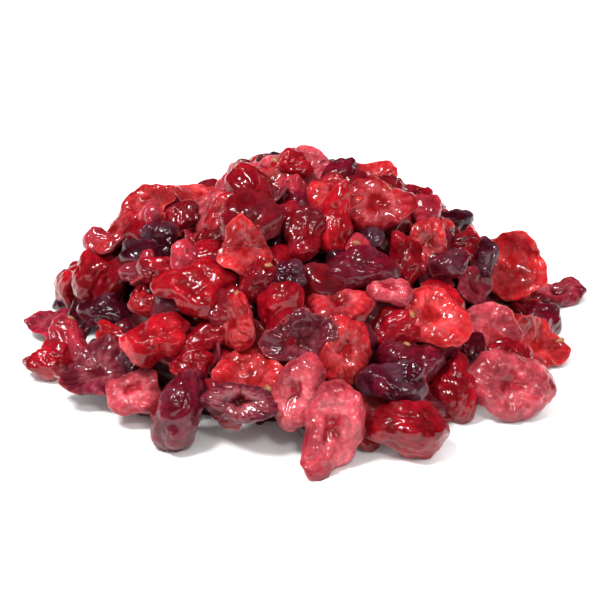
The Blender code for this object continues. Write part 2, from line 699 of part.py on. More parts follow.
def main():
    for thing in list(bpy.data.objects):
        bpy.data.objects.remove(thing)
    pieces = [piece for piece in lay_heap() if piece.fused]
    part_collection = bpy.data.collections.new("dried cranberry heap")
    cutter_collection = bpy.data.collections.new("cutters")
    piece_collection = bpy.data.collections.new("pieces")
    for collection in (part_collection, cutter_collection, piece_collection):
        bpy.context.scene.collection.children.link(collection)
    core = make_core(part_collection)
    for index, piece in enumerate(pieces):
        make_piece(index, piece, piece_collection)
    boolean(core, "join pieces", "UNION", operand_type="COLLECTION", collection=piece_collection)
    cutter = make_ground_cutter(cutter_collection)
    boolean(core, "level underside", "DIFFERENCE", object=cutter)
    apply_modifiers(core)
    for thing in list(piece_collection.objects):
        bpy.data.objects.remove(thing)
    keep_largest_body(core)
    core.data.transform(Matrix.Translation((-MIDDLE_X, -MIDDLE_Y, 0)))
    core.data.materials.append(flesh_material())


if __name__ == "__main__":
    main()
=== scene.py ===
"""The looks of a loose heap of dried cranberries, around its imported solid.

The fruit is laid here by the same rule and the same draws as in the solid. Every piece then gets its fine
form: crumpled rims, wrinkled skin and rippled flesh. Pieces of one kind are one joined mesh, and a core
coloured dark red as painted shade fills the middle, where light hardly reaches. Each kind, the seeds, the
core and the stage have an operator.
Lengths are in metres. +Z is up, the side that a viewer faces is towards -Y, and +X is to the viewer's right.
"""
import functools
import math
import random
from typing import NamedTuple

import bmesh
import bpy
import numpy as np
from bpy.props import FloatProperty, FloatVectorProperty, PointerProperty
from mathutils import Matrix, Vector, bvhtree, noise


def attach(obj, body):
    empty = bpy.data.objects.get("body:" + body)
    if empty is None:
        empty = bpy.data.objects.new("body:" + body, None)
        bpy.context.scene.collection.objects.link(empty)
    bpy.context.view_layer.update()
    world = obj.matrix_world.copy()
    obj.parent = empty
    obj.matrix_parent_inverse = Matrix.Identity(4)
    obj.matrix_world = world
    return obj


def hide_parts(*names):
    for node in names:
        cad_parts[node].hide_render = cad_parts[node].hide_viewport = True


bl_info = {
    "name": "Heap of dried cranberries",
    "version": (1, 0, 0),
    "blender": (4, 5, 0),
    "location": "3D View > Sidebar > Cranberries",
    "description": "Lays a loose heap of dried cranberries and gives it its skin, flesh and seeds",
    "category": "Object",
}

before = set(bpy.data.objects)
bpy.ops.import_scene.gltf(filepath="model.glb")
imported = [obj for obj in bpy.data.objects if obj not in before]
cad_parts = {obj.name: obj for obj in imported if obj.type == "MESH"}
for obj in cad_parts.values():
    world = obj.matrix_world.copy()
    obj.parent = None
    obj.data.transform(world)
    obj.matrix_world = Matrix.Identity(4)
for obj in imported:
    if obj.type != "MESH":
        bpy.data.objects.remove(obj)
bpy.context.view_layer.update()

MM = 0.001

# Where each random draw starts, and what the solid's node and body are called.
LAYING_DRAW = 5
TONE_DRAW = 105
HUSK_DRAW = 205
NODE = "cranberry_heap"
BODY = "root"

# The heap's smooth outline: a flat crest with slopes of nearly constant steepness down to the foot.
CREST_X = -6 * MM
CREST_Y = -11 * MM
LEFT_REACH = 51 * MM
RIGHT_REACH = 64 * MM
FRONT_REACH = 60 * MM
BACK_REACH = 46 * MM
HEAP_HEIGHT = 37 * MM
SHOULDER_X = -18 * MM
SHOULDER_HEIGHT = 26 * MM
CREST_SHARE = 0.36
CREST_SOFTNESS = 0.25

# How closely the pieces lie: on the core, this far under the outline, on the ground and on each other.
COVER_DEPTH = 10 * MM
PRESSED = 0.84
GROUND_PRESSED = 0.9
NEIGHBOUR_REACH = 22 * MM

# A piece that shows slides down its line of sight, from a first to a last step about the outline.
SLIDE_STEP = 1 * MM
SLIDE_FIRST = -18
SLIDE_LAST = 10
SLIDE_LAST_MISSED = 1
STAND_OUT = 2.5 * MM
SINK_IN = 3.2 * MM

# A piece that falls: how far it may stand out and lie in, how it shifts and turns, how often it is tried.
FALL_STAND_OUT = 1.2 * MM
FALL_LIE_IN = 1.8 * MM
FALL_SHIFT = 2 * MM
FALL_LEAN = 14
FALL_TOWARDS = 30
FALL_SPIN = 40
FALLS_TRIED = 8
SPOTS_TRIED = 5000

# A drawn piece that shows beyond the outline in the photograph is pressed in. So is a piece that hangs apart,
# a shown one along its line of sight at first, until one of its balls is held. The core holds a ball this far
# under the outline or this low over the ground, out to a share of the way to the foot. Another piece's ball
# holds it where their middles are no further apart than a share of both radii.
HELD_DEPTH = 5 * MM
HELD_LEVEL = 1.9 * MM
HELD_REACH = 0.85
JOINED = 0.44
PRESS_STEP = 0.4 * MM
PRESS_STEPS = 24
SIGHT_STEPS = 15

# The heap's middle in the frame in which it is laid, which becomes the origin.
MIDDLE_X = 2.23 * MM
MIDDLE_Y = -16.17 * MM

# Where the heap was looked at from, the steps along a line of sight, the film's width in millimetres, and the
# nearest that the camera shows.
VIEW_DISTANCE = 400 * MM
VIEW_ANGLE = math.radians(28)
VIEW_FOCAL_PX = 1840
VIEW_MIDDLE_PX = 300
VIEW_STEPS = np.arange(300, 430)[:, None] * MM
FILM_WIDTH = 36
NEAREST_VIEW = 10 * MM

# The outline in the photograph, in pixels from left to right: over the crest and round the foot.
CREST_LINE = [(20, 317), (52, 306), (62, 282), (80, 252), (110, 221), (130, 186), (150, 173), (180, 187),
              (220, 179), (245, 152), (280, 151), (325, 139), (345, 160), (390, 147), (410, 184), (450, 196),
              (500, 222), (540, 262), (580, 288)]
FOOT_LINE = [(30, 379), (90, 378), (130, 408), (165, 456), (190, 422), (215, 408), (285, 420), (320, 474),
             (390, 462), (450, 420), (530, 416), (580, 374)]

# Every piece: its least thickness, how uneven its outline and rim are, the balls in it, and how much it
# differs from its kind, as shares of the kind's own sizes to draw between.
THINNEST = 2 * MM
OUTLINE_LOBES = [(2, 0.06), (3, 0.10), (4, 0.07), (5, 0.05)]
RIM_WAVES = [(3, 0.07), (5, 0.03)]
SADDLE = 0.13
BALL_RINGS = [(9, 0.80), (5, 0.42), (1, 0.0)]
WIDTHS = (0.9, 1.1)
THICKNESSES = (0.85, 1.15)
DISHES = FOLDS = (0.7, 1.3)
HOLLOWS = (0.75, 1.25)
LOBES = (0.2, 1.0)
WAVES = (0.3, 1.0)
DENTS = (0.4, 1.0)
DENT_SPREADS = (0.45, 0.8)

# The section of a piece from its middle, 0, to its rim, 1: its rounded edge, raised rim and hollow.
SIDE_FLATNESS = 2.8
SIDE_ROUNDNESS = 0.58
RIM_PLACE = 0.72
RIM_SPREAD = 0.22
RIM_RISE = 0.25
HOLLOW_SPREAD = 0.36
HOLLOW_ROOMS = 0.12
HOLLOW_BEHIND = 0.4

# The fine form: lengths of crumples, nicks, folds, creases and flesh ripples, from one crest to the next.
CRUMPLE_LENGTH = 7 * MM
NICK_LENGTH = 2.8 * MM
FOLD_LENGTH = 4.0 * MM
CREASE_LENGTH = 1.7 * MM
RIPPLE_LENGTH = 2.2 * MM

# The noise that gives them: its steps from one crest to the next, the last place at which it may start, and
# how far from there the noise of each form starts.
CREST_STEPS = 1.6
LAST_START = 40
CRUMPLE_STARTS = (0, 7, 13)
NICK_STARTS = (3, 17, 29)
FOLD_START = 21
CREASE_START = 33
RIPPLE_START = 51

# How the fine form lies on a piece, in shares of its depth, and less of it at the side of a piece.
LIMPNESS = {"cup": 1.4, "slice": 0.75, "curl": 1.2}
RIM_BAND = 0.3
NICKS_ALL_OVER = 0.4
FOLD_STRETCH = 0.55
FOLD_DRIFT = 0.35 * FOLD_LENGTH
FOLD_ROUNDNESS = 0.8
FOLD_SHARE = 2.2
CREASE_SHARPNESS = 2.2
CREASE_SHARE = 0.5
CREASE_BOTTOM = -0.2
SKIN_LEVEL = 0.6
FLESH_LEVEL = 0.3
RAY_COUNTS = (9, 14)
RAY_DRIFT = 3
RAY_DEPTH = 0.22 * MM
SIDE_BAND = 0.25
SIDE_SMOOTHNESS = 0.6

# Where the skin ends on each kind: the place with bare flesh, the place with whole skin, and how far crumples
# shift both, a second set of crumples by a share of that. A slice's places are counted outwards, a lump's
# from its crumples alone, the others' upwards.
SKIN_ENDS = {
    "slice": (0.80, 0.96, 0.132),
    "cap": (-0.25, 0.05, 0.22),
    "cup": (0.10, -0.15, 0.088),
    "curl": (-0.25, 0.05, 0.22),
    "lump": (-0.90, -0.25, 1.0),
}
SECOND_CRUMPLES = 0.5

# The colour of the cut flesh: seed rooms darkened as painted shade in their hollows, with a pale ring and
# pale fibres, as distances from the middle.
CUT_KINDS = {"slice": 1.0, "cup": 0.7, "curl": 0.3}
SEED_ROOM = 0.27
SEED_ROOM_LOBES = 0.04
SEED_ROOM_RAGS = 0.10
SEED_ROOM_NICKS = 0.8
SEED_ROOM_EDGE = (0.05, -0.06)
RING_PLACE = 0.16
RING_SPREAD = 0.13
RING_PALENESS = 0.24
FIBRE_COUNTS = (16, 26)
FIBRE_DRIFT = 4
FIBRE_PALENESS = 0.16

# The colour of each piece: how far it differs from its tone, how much its seed rooms are darkened as painted
# shade and how uneven it is, in red, green and blue, its rim paled as a painted glow of light shining through
# it, and the bloom on its dark skin, which also stands in for a painted sheen.
TONE_SPREAD = (0.85, 1.15)
SEED_ROOM_PAINTED_SHADE = np.array([0.38, 0.78, 0.72])
UNEVEN_SHADE = np.array([0.65, 0.95, 0.85])
UNEVEN_NICKS = 0.5
RIM_WIDTH = 0.10
RIM_EVENNESS = 0.45
RIM_UNEVENNESS = 0.7
BLOOM_AND_SHEEN_EDGE = (0.0, 0.6)
BLOOM_AND_SHEEN_ON_FOLDS = 0.3

# Seeds that show, as pixels of the photograph, and how many more there are all round.
SEED_SPOTS = [(357, 243), (268, 265), (275, 160), (268, 388), (412, 315)]
MORE_SEEDS = 9
SEED_REACH = (45 * MM, 40 * MM)
SEED_FROM_HEIGHT = 100 * MM
SEED_SLANT = 0.2
SEED_WIDTH_SHARE = 0.62
SEED_THICKNESS_SHARE = 0.5
SEED_TAPER = 0.35
SEED_SUNK = 0.075

# The core that shows: its reach as a share of the heap's, more at the back, its faces and its lumps.
CORE_SHARE = 0.74
CORE_BACK_SHARE = 0.08
CORE_SIDES = 160
CORE_RINGS = 120
CORE_LUMPS = 8 * MM
CORE_LUMP_HEIGHT = 3.5 * MM
CORE_LUMP_LEVEL = 0.2

# Sizes of the patterns in the materials. Real sugar grains are 0.2 to 0.5 mm across and board fibres finer
# still: both are drawn as coarse as they need to show.
MOTTLE_SIZE = 1.3 * MM
SUGAR_SIZE = 0.8 * MM
OIL_PATCH_SIZE = 2.5 * MM
SKIN_GRAIN_SIZE = 1.1 * MM
SKIN_GRAIN_HEIGHT = 0.25 * MM
SHADE_SIZE = 4 * MM
HUSK_FOLD_SIZE = 0.6 * MM
FIBRE_SIZE = 3 * MM

# How much brighter sugar makes red, green and blue, and how far each goes into the flesh, in shares of a
# length.
SUGAR_TINT = (1.3, 2.8, 2.5, 1.0)
LIGHT_REACH = (1.0, 0.16, 0.10)
LIGHT_REACH_LENGTH = 2 * MM

# The lamps: where each hangs, the side of its square, whether wet surfaces mirror it, and what all aim at.
LAMPS = {
    "key": ((-0.30, -0.20, 0.72), 0.16, True),
    "back": ((0.30, 0.45, 0.60), 0.50, False),
    "glint": ((0.15, -0.45, 0.55), 0.12, True),
}
LAMP_AIM = (0, 0, 0.01)

# Flesh and skin of each tone, from the brightest to the blackest, how often each is drawn for a piece of the
# hidden sides and of the gaps, whose darker tones are painted shade, and how much bloom its skin has, which
# also stands in for a painted sheen.
TONES = {
    "bright": ("#A41318", "#930915"),
    "red": ("#9A0C17", "#800714"),
    "pink": ("#B03743", "#92202E"),
    "deep": ("#870612", "#6D0611"),
    "maroon": ("#780920", "#570617"),
    "black": ("#570619", "#390513"),
}
TONE_SHARES = {"bright": 4, "red": 6, "pink": 3, "deep": 4, "maroon": 2, "black": 1}
GAP_SHADE_TONE_SHARES = {"red": 2, "deep": 4, "maroon": 3, "black": 3}
BLOOM_AND_SHEEN_TONES = {"maroon": 0.22, "black": 0.35, "deep": 0.08, "pink": 0.15}


class Kind(NamedTuple):
    """How a kind of piece grows from its length."""

    width: float      # share of the length
    thickness: float  # share of the length
    dish: float       # drop of the rim behind the face that shows, share of the length
    hollow: float     # depth of the middle hollow, share of the thickness
    fold: float       # bend about the long axis, in radians at the edge
    dents: int        # how many dents its shrinking left
    dent: float       # depth of a dent, share of the distance from the middle


KINDS = {
    "slice": Kind(0.84, 0.22, 0.03, 0.80, 0.25, 2, 0.12),
    "cap": Kind(0.84, 0.27, 0.22, 0.00, 0.35, 4, 0.18),
    "cup": Kind(0.86, 0.20, -0.20, 0.30, 0.50, 3, 0.16),
    "curl": Kind(0.70, 0.19, 0.02, 0.15, 1.35, 2, 0.12),
    "lump": Kind(0.76, 0.40, 0.06, 0.00, 0.30, 6, 0.24),
}
KIND_SHARES = {"slice": 3, "cap": 4, "cup": 3, "curl": 2, "lump": 3}


class Shown(NamedTuple):
    """A piece that shows: its middle in pixels of the 600 by 600 photograph, then millimetres and degrees."""

    kind: str
    across_px: int
    down_px: int
    length: float
    width: float
    lean: float
    towards: float
    spin: float
    tone: str


class Layer(NamedTuple):
    """Pieces scattered over the heap and dropped on it."""

    spacing: float  # least distance between two spots
    reach: float    # how far out they lie behind the crest, 1 at the foot
    front: float    # how far out they lie before it
    clear: float    # distance kept from the pieces that show
    shortest: float
    longest: float
    lean_from: float
    lean_to: float
    sink: float     # how far they lie under the outline
    fused: bool     # whether they are joined to the solid
    divisions: int  # how finely each is modelled


# The deep pieces, those that fill between the shown ones, and those of the sides that the photograph doesn't
# show. A shown piece is modelled more finely, and one at the foot, which is seen from near, most finely.
DEEP = Layer(6.8 * MM, 0.84, 0.82, 0, 9 * MM, 13 * MM, -10, 10, 6.5 * MM, False, 6)
BETWEEN = Layer(5.8 * MM, 0.9, 0.66, 4.4 * MM, 8 * MM, 12 * MM, -10, 20, 2.8 * MM, False, 10)
HIDDEN_SIDES = Layer(6.6 * MM, 0.92, 0.68, 7 * MM, 11.5 * MM, 16 * MM, -15, 25, -0.5 * MM, True, 14)
SHOWN_DIVISIONS = 21
FOOT_DIVISIONS = 28

FOOT = [Shown(*row) for row in (
    ("slice", 333, 439, 19.5, 12.5, 62, 0, 88, "pink"),
    ("slice", 297, 396, 15.0, 10.0, 64, -15, 80, "pink"),
    ("cap", 409, 431, 16.0, 13.5, 50, 8, 165, "red"),
    # Painted shade: this piece takes the black tone because it lies in shade under the pieces above it.
    ("lump", 393, 388, 13.5, 10.0, 25, 0, 0, "black"),
    # Painted shade: this piece takes the black tone as the shaded underside of the piece above it.
    ("slice", 242, 405, 15.0, 7.0, 62, -5, 0, "black"),
    ("cup", 250, 384, 14.5, 11.5, 36, -10, 8, "bright"),
    ("curl", 222, 410, 12.0, 6.0, 60, -20, -50, "deep"),
    ("cap", 162, 430, 17.0, 12.0, 56, -15, 72, "maroon"),
    ("slice", 135, 392, 12.0, 10.0, 42, -20, 20, "pink"),
    ("lump", 193, 368, 8.5, 6.5, 40, -10, 10, "red"),
    ("cup", 93, 371, 13.5, 10.0, 22, -10, 0, "black"),
    ("lump", 34, 364, 11.0, 9.5, 30, -20, 0, "red"),
    ("slice", 520, 391, 18.5, 14.0, 52, 15, -18, "pink"),
    ("cap", 481, 402, 14.0, 11.0, 58, 10, 80, "red"),
)]
LEFT_SIDE = [Shown(*row) for row in (
    ("cup", 31, 326, 9.5, 8.5, 15, -20, 0, "maroon"),
    ("curl", 62, 337, 13.0, 8.0, 42, -20, -35, "pink"),
    ("cap", 105, 314, 10.5, 9.0, 32, -10, 0, "black"),
    ("lump", 110, 334, 6.5, 5.5, 40, 0, 0, "bright"),
    ("cap", 153, 342, 14.0, 12.0, 42, -10, 15, "bright"),
    ("cap", 93, 280, 13.0, 11.5, 55, -30, 60, "red"),
    ("lump", 100, 249, 8.0, 6.5, 40, -20, 0, "pink"),
    ("curl", 130, 264, 9.0, 7.0, 55, -20, 30, "pink"),
    ("lump", 135, 293, 8.0, 6.5, 40, 0, 80, "deep"),
    ("lump", 148, 308, 7.0, 6.0, 40, 0, 0, "bright"),
    ("cup", 145, 172, 12.0, 10.5, 42, -25, 10, "bright"),
    ("curl", 120, 227, 14.0, 7.0, 62, -45, 84, "pink"),
    ("cap", 139, 231, 9.5, 8.0, 56, -20, 60, "black"),
    ("lump", 168, 207, 8.5, 6.5, 45, -10, 70, "deep"),
    ("slice", 203, 210, 10.5, 9.5, 62, -5, 60, "pink"),
    ("slice", 228, 221, 10.5, 9.0, 55, 12, 20, "red"),
    ("lump", 171, 236, 7.0, 6.0, 45, 0, 20, "red"),
    ("lump", 212, 243, 8.0, 6.5, 45, 0, 10, "deep"),
    ("curl", 184, 262, 8.5, 5.5, 50, 0, 80, "pink"),
    ("cap", 156, 275, 8.5, 7.0, 50, -10, 10, "red"),
)]
MIDDLE = [Shown(*row) for row in (
    ("slice", 236, 325, 12.5, 10.5, 80, -55, 75, "bright"),
    ("curl", 279, 322, 15.5, 9.5, 62, -10, 86, "red"),
    ("curl", 198, 341, 12.5, 8.0, 50, -5, 45, "red"),
    ("curl", 195, 292, 15.5, 10.5, 40, -5, 12, "bright"),
    ("cap", 206, 263, 14.0, 9.0, 36, 0, 5, "red"),
    ("cup", 244, 254, 11.5, 8.0, 52, 20, 40, "bright"),
    ("cap", 258, 280, 10.0, 9.0, 50, 0, 60, "deep"),
    ("lump", 288, 278, 7.0, 6.0, 45, 0, 0, "black"),
    ("slice", 345, 350, 13.0, 10.5, 62, 5, 86, "bright"),
    ("cup", 301, 345, 12.0, 10.5, 56, 0, 80, "black"),
    ("slice", 340, 309, 13.5, 12.0, 14, 0, 0, "red"),
    ("cap", 358, 272, 16.0, 13.0, 44, 0, 10, "maroon"),
    ("curl", 406, 265, 11.0, 8.0, 56, 10, 82, "red"),
    ("slice", 388, 294, 9.0, 7.0, 15, 10, -20, "pink"),
    ("curl", 395, 331, 12.5, 9.5, 50, 0, 20, "red"),
    ("cup", 433, 319, 14.0, 12.0, 44, 10, 5, "bright"),
    ("cap", 409, 368, 14.0, 12.0, 50, 0, 10, "maroon"),
    ("curl", 448, 350, 9.0, 6.0, 40, 10, 20, "pink"),
)]
RIGHT_SIDE = [Shown(*row) for row in (
    ("cup", 564, 350, 12, 10.0, 44, 40, 60, "bright"),
    ("cap", 553, 317, 12, 10.5, 46, 35, 10, "maroon"),
    ("cup", 505, 328, 13.0, 10.0, 42, 18, 5, "pink"),
    ("curl", 505, 356, 11.0, 6.5, 45, 15, -5, "red"),
    ("cup", 509, 270, 15.0, 13.0, 58, -25, 85, "bright"),
    ("cup", 551, 273, 8.0, 6.5, 60, 60, 60, "pink"),
    ("slice", 566, 295, 13.5, 7.5, 10, 20, 0, "maroon"),
    ("cap", 486, 261, 9.0, 5.5, 55, 10, 84, "black"),
    ("cap", 450, 268, 9.0, 8.0, 45, 10, 10, "maroon"),
    ("lump", 465, 250, 8.0, 6.0, 45, 10, 10, "red"),
    ("curl", 472, 348, 7.0, 5.0, 45, 0, 80, "maroon"),
)]
CREST = [Shown(*row) for row in (
    ("slice", 257, 169, 12.5, 10.0, 38, -5, 0, "bright"),
    ("cap", 251, 199, 17.0, 10.0, 56, -5, 128, "red"),
    ("cup", 324, 149, 10.0, 8.5, 32, 0, 0, "pink"),
    ("lump", 296, 168, 7.0, 6.0, 45, 0, 0, "red"),
    ("curl", 317, 179, 8.5, 6.0, 50, 0, 84, "pink"),
    ("slice", 351, 180, 10.0, 8.5, 56, 12, 20, "red"),
    ("cap", 294, 207, 8.0, 7.0, 45, 0, 5, "deep"),
    ("lump", 302, 238, 12.0, 10.5, 50, 0, 70, "deep"),
    ("curl", 335, 226, 15.0, 7.5, 60, 5, 86, "bright"),
    ("lump", 375, 240, 7.5, 6.0, 45, 0, 80, "pink"),
    ("cup", 382, 172, 12.0, 8.5, 26, 5, 0, "bright"),
    ("slice", 379, 210, 15.0, 11.5, 54, 5, 8, "red"),
    ("lump", 424, 210, 9.5, 8.5, 45, 10, 60, "pink"),
    ("lump", 421, 195, 8.0, 6.5, 45, 10, 0, "deep"),
    ("slice", 431, 244, 10.5, 8.5, 66, 12, 80, "bright"),
    ("cap", 463, 210, 10.5, 9.0, 46, 20, 0, "black"),
    ("cap", 455, 232, 7.0, 5.5, 45, 20, 10, "maroon"),
    ("slice", 486, 229, 11.0, 7.5, 64, 35, 80, "red"),
)]


def outness(x, y):
    """0 at the middle of the crest and 1 all round the foot."""
    across = np.asarray(x) - CREST_X
    along = np.asarray(y) - CREST_Y
    reach_x = np.where(across < 0, LEFT_REACH, RIGHT_REACH)
    reach_y = np.where(along < 0, FRONT_REACH, BACK_REACH)
    return np.sqrt((across / reach_x) ** 2 + (along / reach_y) ** 2)


def mound(x, y):
    """Height of the heap's smooth outline over a spot: a flat crest, and a lower shoulder to its left."""
    fall = np.clip((outness(x, y) - CREST_SHARE) / (1 - CREST_SHARE), -CREST_SHARE, 1)
    soft_fall = 0.5 * (fall + np.sqrt(fall**2 + CREST_SOFTNESS**2))
    shoulder = SHOULDER_HEIGHT + np.maximum(np.asarray(x) - SHOULDER_X, 0)
    return np.minimum(HEAP_HEIGHT * np.clip(1 - soft_fall, 0, 1), shoulder)


def core_top(x, y):
    """Height of the core over a spot, 0 outside it."""
    return np.maximum(mound(x, y) - COVER_DEPTH, 0)


def downhill(x, y):
    """The outline's slope at a spot and the bearing that it faces, in degrees: 0 to the front, 90 to +X."""
    step = 1 * MM
    rise_x = float(mound(x + step, y) - mound(x - step, y)) / (2 * step)
    rise_y = float(mound(x, y + step) - mound(x, y - step)) / (2 * step)
    return math.degrees(math.atan(math.hypot(rise_x, rise_y))), math.degrees(math.atan2(-rise_x, rise_y))


class Piece:
    """One dried cranberry: the sizes drawn for it, and where it lies once it is laid."""

    def __init__(self, kind_name, length, width, draw):
        kind = KINDS[kind_name]
        self.kind_name = kind_name
        self.tone = None
        self.divisions = SHOWN_DIVISIONS
        self.fused = True
        self.drawn = False
        self.sight = None
        self.half_length = 0.5 * length
        self.half_width = 0.5 * (width or length * kind.width * draw.uniform(*WIDTHS))
        self.thickness = max(THINNEST, length * kind.thickness * draw.uniform(*THICKNESSES))
        self.dish = length * kind.dish * draw.uniform(*DISHES)
        self.hollow = kind.hollow * draw.uniform(*HOLLOWS)
        self.bend = kind.fold * draw.uniform(*FOLDS) / self.half_width
        self.saddle = length * draw.uniform(-SADDLE, SADDLE)
        self.saddle_turn = draw.uniform(0, math.pi)
        self.lobes = [(count, share * draw.uniform(*LOBES), draw.uniform(0, 2 * math.pi))
                      for count, share in OUTLINE_LOBES]
        self.waves = [(count, length * share * draw.uniform(*WAVES), draw.uniform(0, 2 * math.pi))
                      for count, share in RIM_WAVES]
        self.seed_rooms = draw.choice((3, 4))
        self.seed_rooms_turn = draw.uniform(0, math.pi)
        self.dents = [(random_direction(draw), kind.dent * draw.uniform(*DENTS), draw.uniform(*DENT_SPREADS))
                      for _ in range(kind.dents)]
        self.offset = np.zeros(3)
        self.place = np.zeros(3)
        self.axes = np.eye(3)
        middles, self.ball_radii = self.fill_with_balls()
        self.offset = 0.5 * (middles.min(0) + middles.max(0))
        self.ball_middles = middles - self.offset

    def form(self, ball):
        """Carries points of a unit ball to the piece's own form, its shown face up."""
        up = ball[:, 2]
        turn = np.arctan2(ball[:, 1], ball[:, 0])
        out = np.sqrt(np.clip(1 - np.abs(up), 0, 1))
        outline = 1 + sum(size * np.cos(count * turn + start) for count, size, start in self.lobes)
        x = self.half_length * outline * out * np.cos(turn)
        y = self.half_width * outline * out * np.sin(turn)
        side = np.sign(up) * np.clip(1 - out**SIDE_FLATNESS, 0, 1) ** SIDE_ROUNDNESS
        rim = 1 + RIM_RISE * np.exp(-(((out - RIM_PLACE) / RIM_SPREAD) ** 2))
        rooms = 1 + HOLLOW_ROOMS * np.cos(self.seed_rooms * turn + self.seed_rooms_turn)
        pit = np.where(up > 0, 1, HOLLOW_BEHIND) * self.hollow * np.exp(-((out / HOLLOW_SPREAD) ** 2)) * rooms
        z = 0.5 * self.thickness * side * (rim - pit)
        shrink = np.ones(len(ball))
        for direction, depth, spread in self.dents:
            shrink -= depth * np.exp(-((ball - direction) ** 2).sum(1) / spread**2)
        x, y, z = x * shrink, y * shrink, z * shrink
        z = z - self.dish * out**2
        z += self.saddle * out**2 * np.cos(2 * (turn - self.saddle_turn))
        z += sum(size * out**3 * np.cos(count * turn + start) for count, size, start in self.waves)
        angle = y * self.bend
        arm = 1 / self.bend + z
        bent = np.stack([x, arm * np.sin(angle), arm * np.cos(angle) - 1 / self.bend], 1)
        return bent - self.offset

    def fill_with_balls(self):
        """Balls inside the piece, by which it rests on others: their middles and radii."""
        spots = []
        for count, out in BALL_RINGS:
            for step in range(count):
                turn = 2 * math.pi * step / count
                up = 1 - out**2
                level = math.sqrt(1 - up * up)
                spots.append((level * math.cos(turn), level * math.sin(turn), up))
        upper = self.form(np.array(spots))
        lower = self.form(np.array(spots) * [1, 1, -1])
        radii = np.maximum(0.5 * np.linalg.norm(upper - lower, axis=1), THINNEST / 2)
        return 0.5 * (upper + lower), radii

    def face(self, lean, towards, spin):
        """Leans the piece's face from the vertical towards a bearing, and spins its length in the face."""
        lean, towards, spin = math.radians(lean), math.radians(towards), math.radians(spin)
        level = np.array([math.cos(towards), math.sin(towards), 0])
        out = math.sin(lean)
        face = np.array([out * math.sin(towards), -out * math.cos(towards), math.cos(lean)])
        length = math.cos(spin) * level + math.sin(spin) * np.cross(face, level)
        self.axes = np.stack([length, np.cross(face, length), face], 1)

    def turned_balls(self):
        """The middles of the piece's balls as it is turned, and the least height at which it lies."""
        spots = self.ball_middles @ self.axes.T
        return spots, (GROUND_PRESSED * self.ball_radii - spots[:, 2]).max()

    def balls_in_place(self):
        """The middles of the piece's balls where it lies."""
        return self.ball_middles @ self.axes.T + self.place

    def stands_out(self):
        """True where a ball of the piece would show beyond the outline in the photograph."""
        spots = self.balls_in_place()
        cos_angle, sin_angle = math.cos(VIEW_ANGLE), math.sin(VIEW_ANGLE)
        scale = VIEW_FOCAL_PX / (VIEW_DISTANCE + spots[:, 1] * cos_angle - spots[:, 2] * sin_angle)
        across = VIEW_MIDDLE_PX + scale * spots[:, 0]
        down = VIEW_MIDDLE_PX - scale * (spots[:, 2] * cos_angle + spots[:, 1] * sin_angle)
        over_crest = down - scale * self.ball_radii < np.interp(across, *zip(*CREST_LINE))
        under_foot = down + scale * self.ball_radii > np.interp(across, *zip(*FOOT_LINE))
        return bool((over_crest | under_foot).any())

    def press_in(self, lies_well):
        """Moves the piece along its line of sight, or else down and towards the crest, until it lies well."""
        _, ground = self.turned_balls()
        first = self.place
        for _ in range(SIGHT_STEPS if self.sight is not None else 0):
            if lies_well(self):
                return
            self.place = self.place + PRESS_STEP * self.sight
            self.place[2] = max(self.place[2], ground)
        self.place = first
        for _ in range(PRESS_STEPS):
            if lies_well(self):
                return
            inward = np.array([CREST_X, CREST_Y]) - self.place[:2]
            inward *= PRESS_STEP / max(np.linalg.norm(inward), PRESS_STEP)
            self.place = self.place + [*inward, -PRESS_STEP]
            self.place[2] = max(self.place[2], ground)


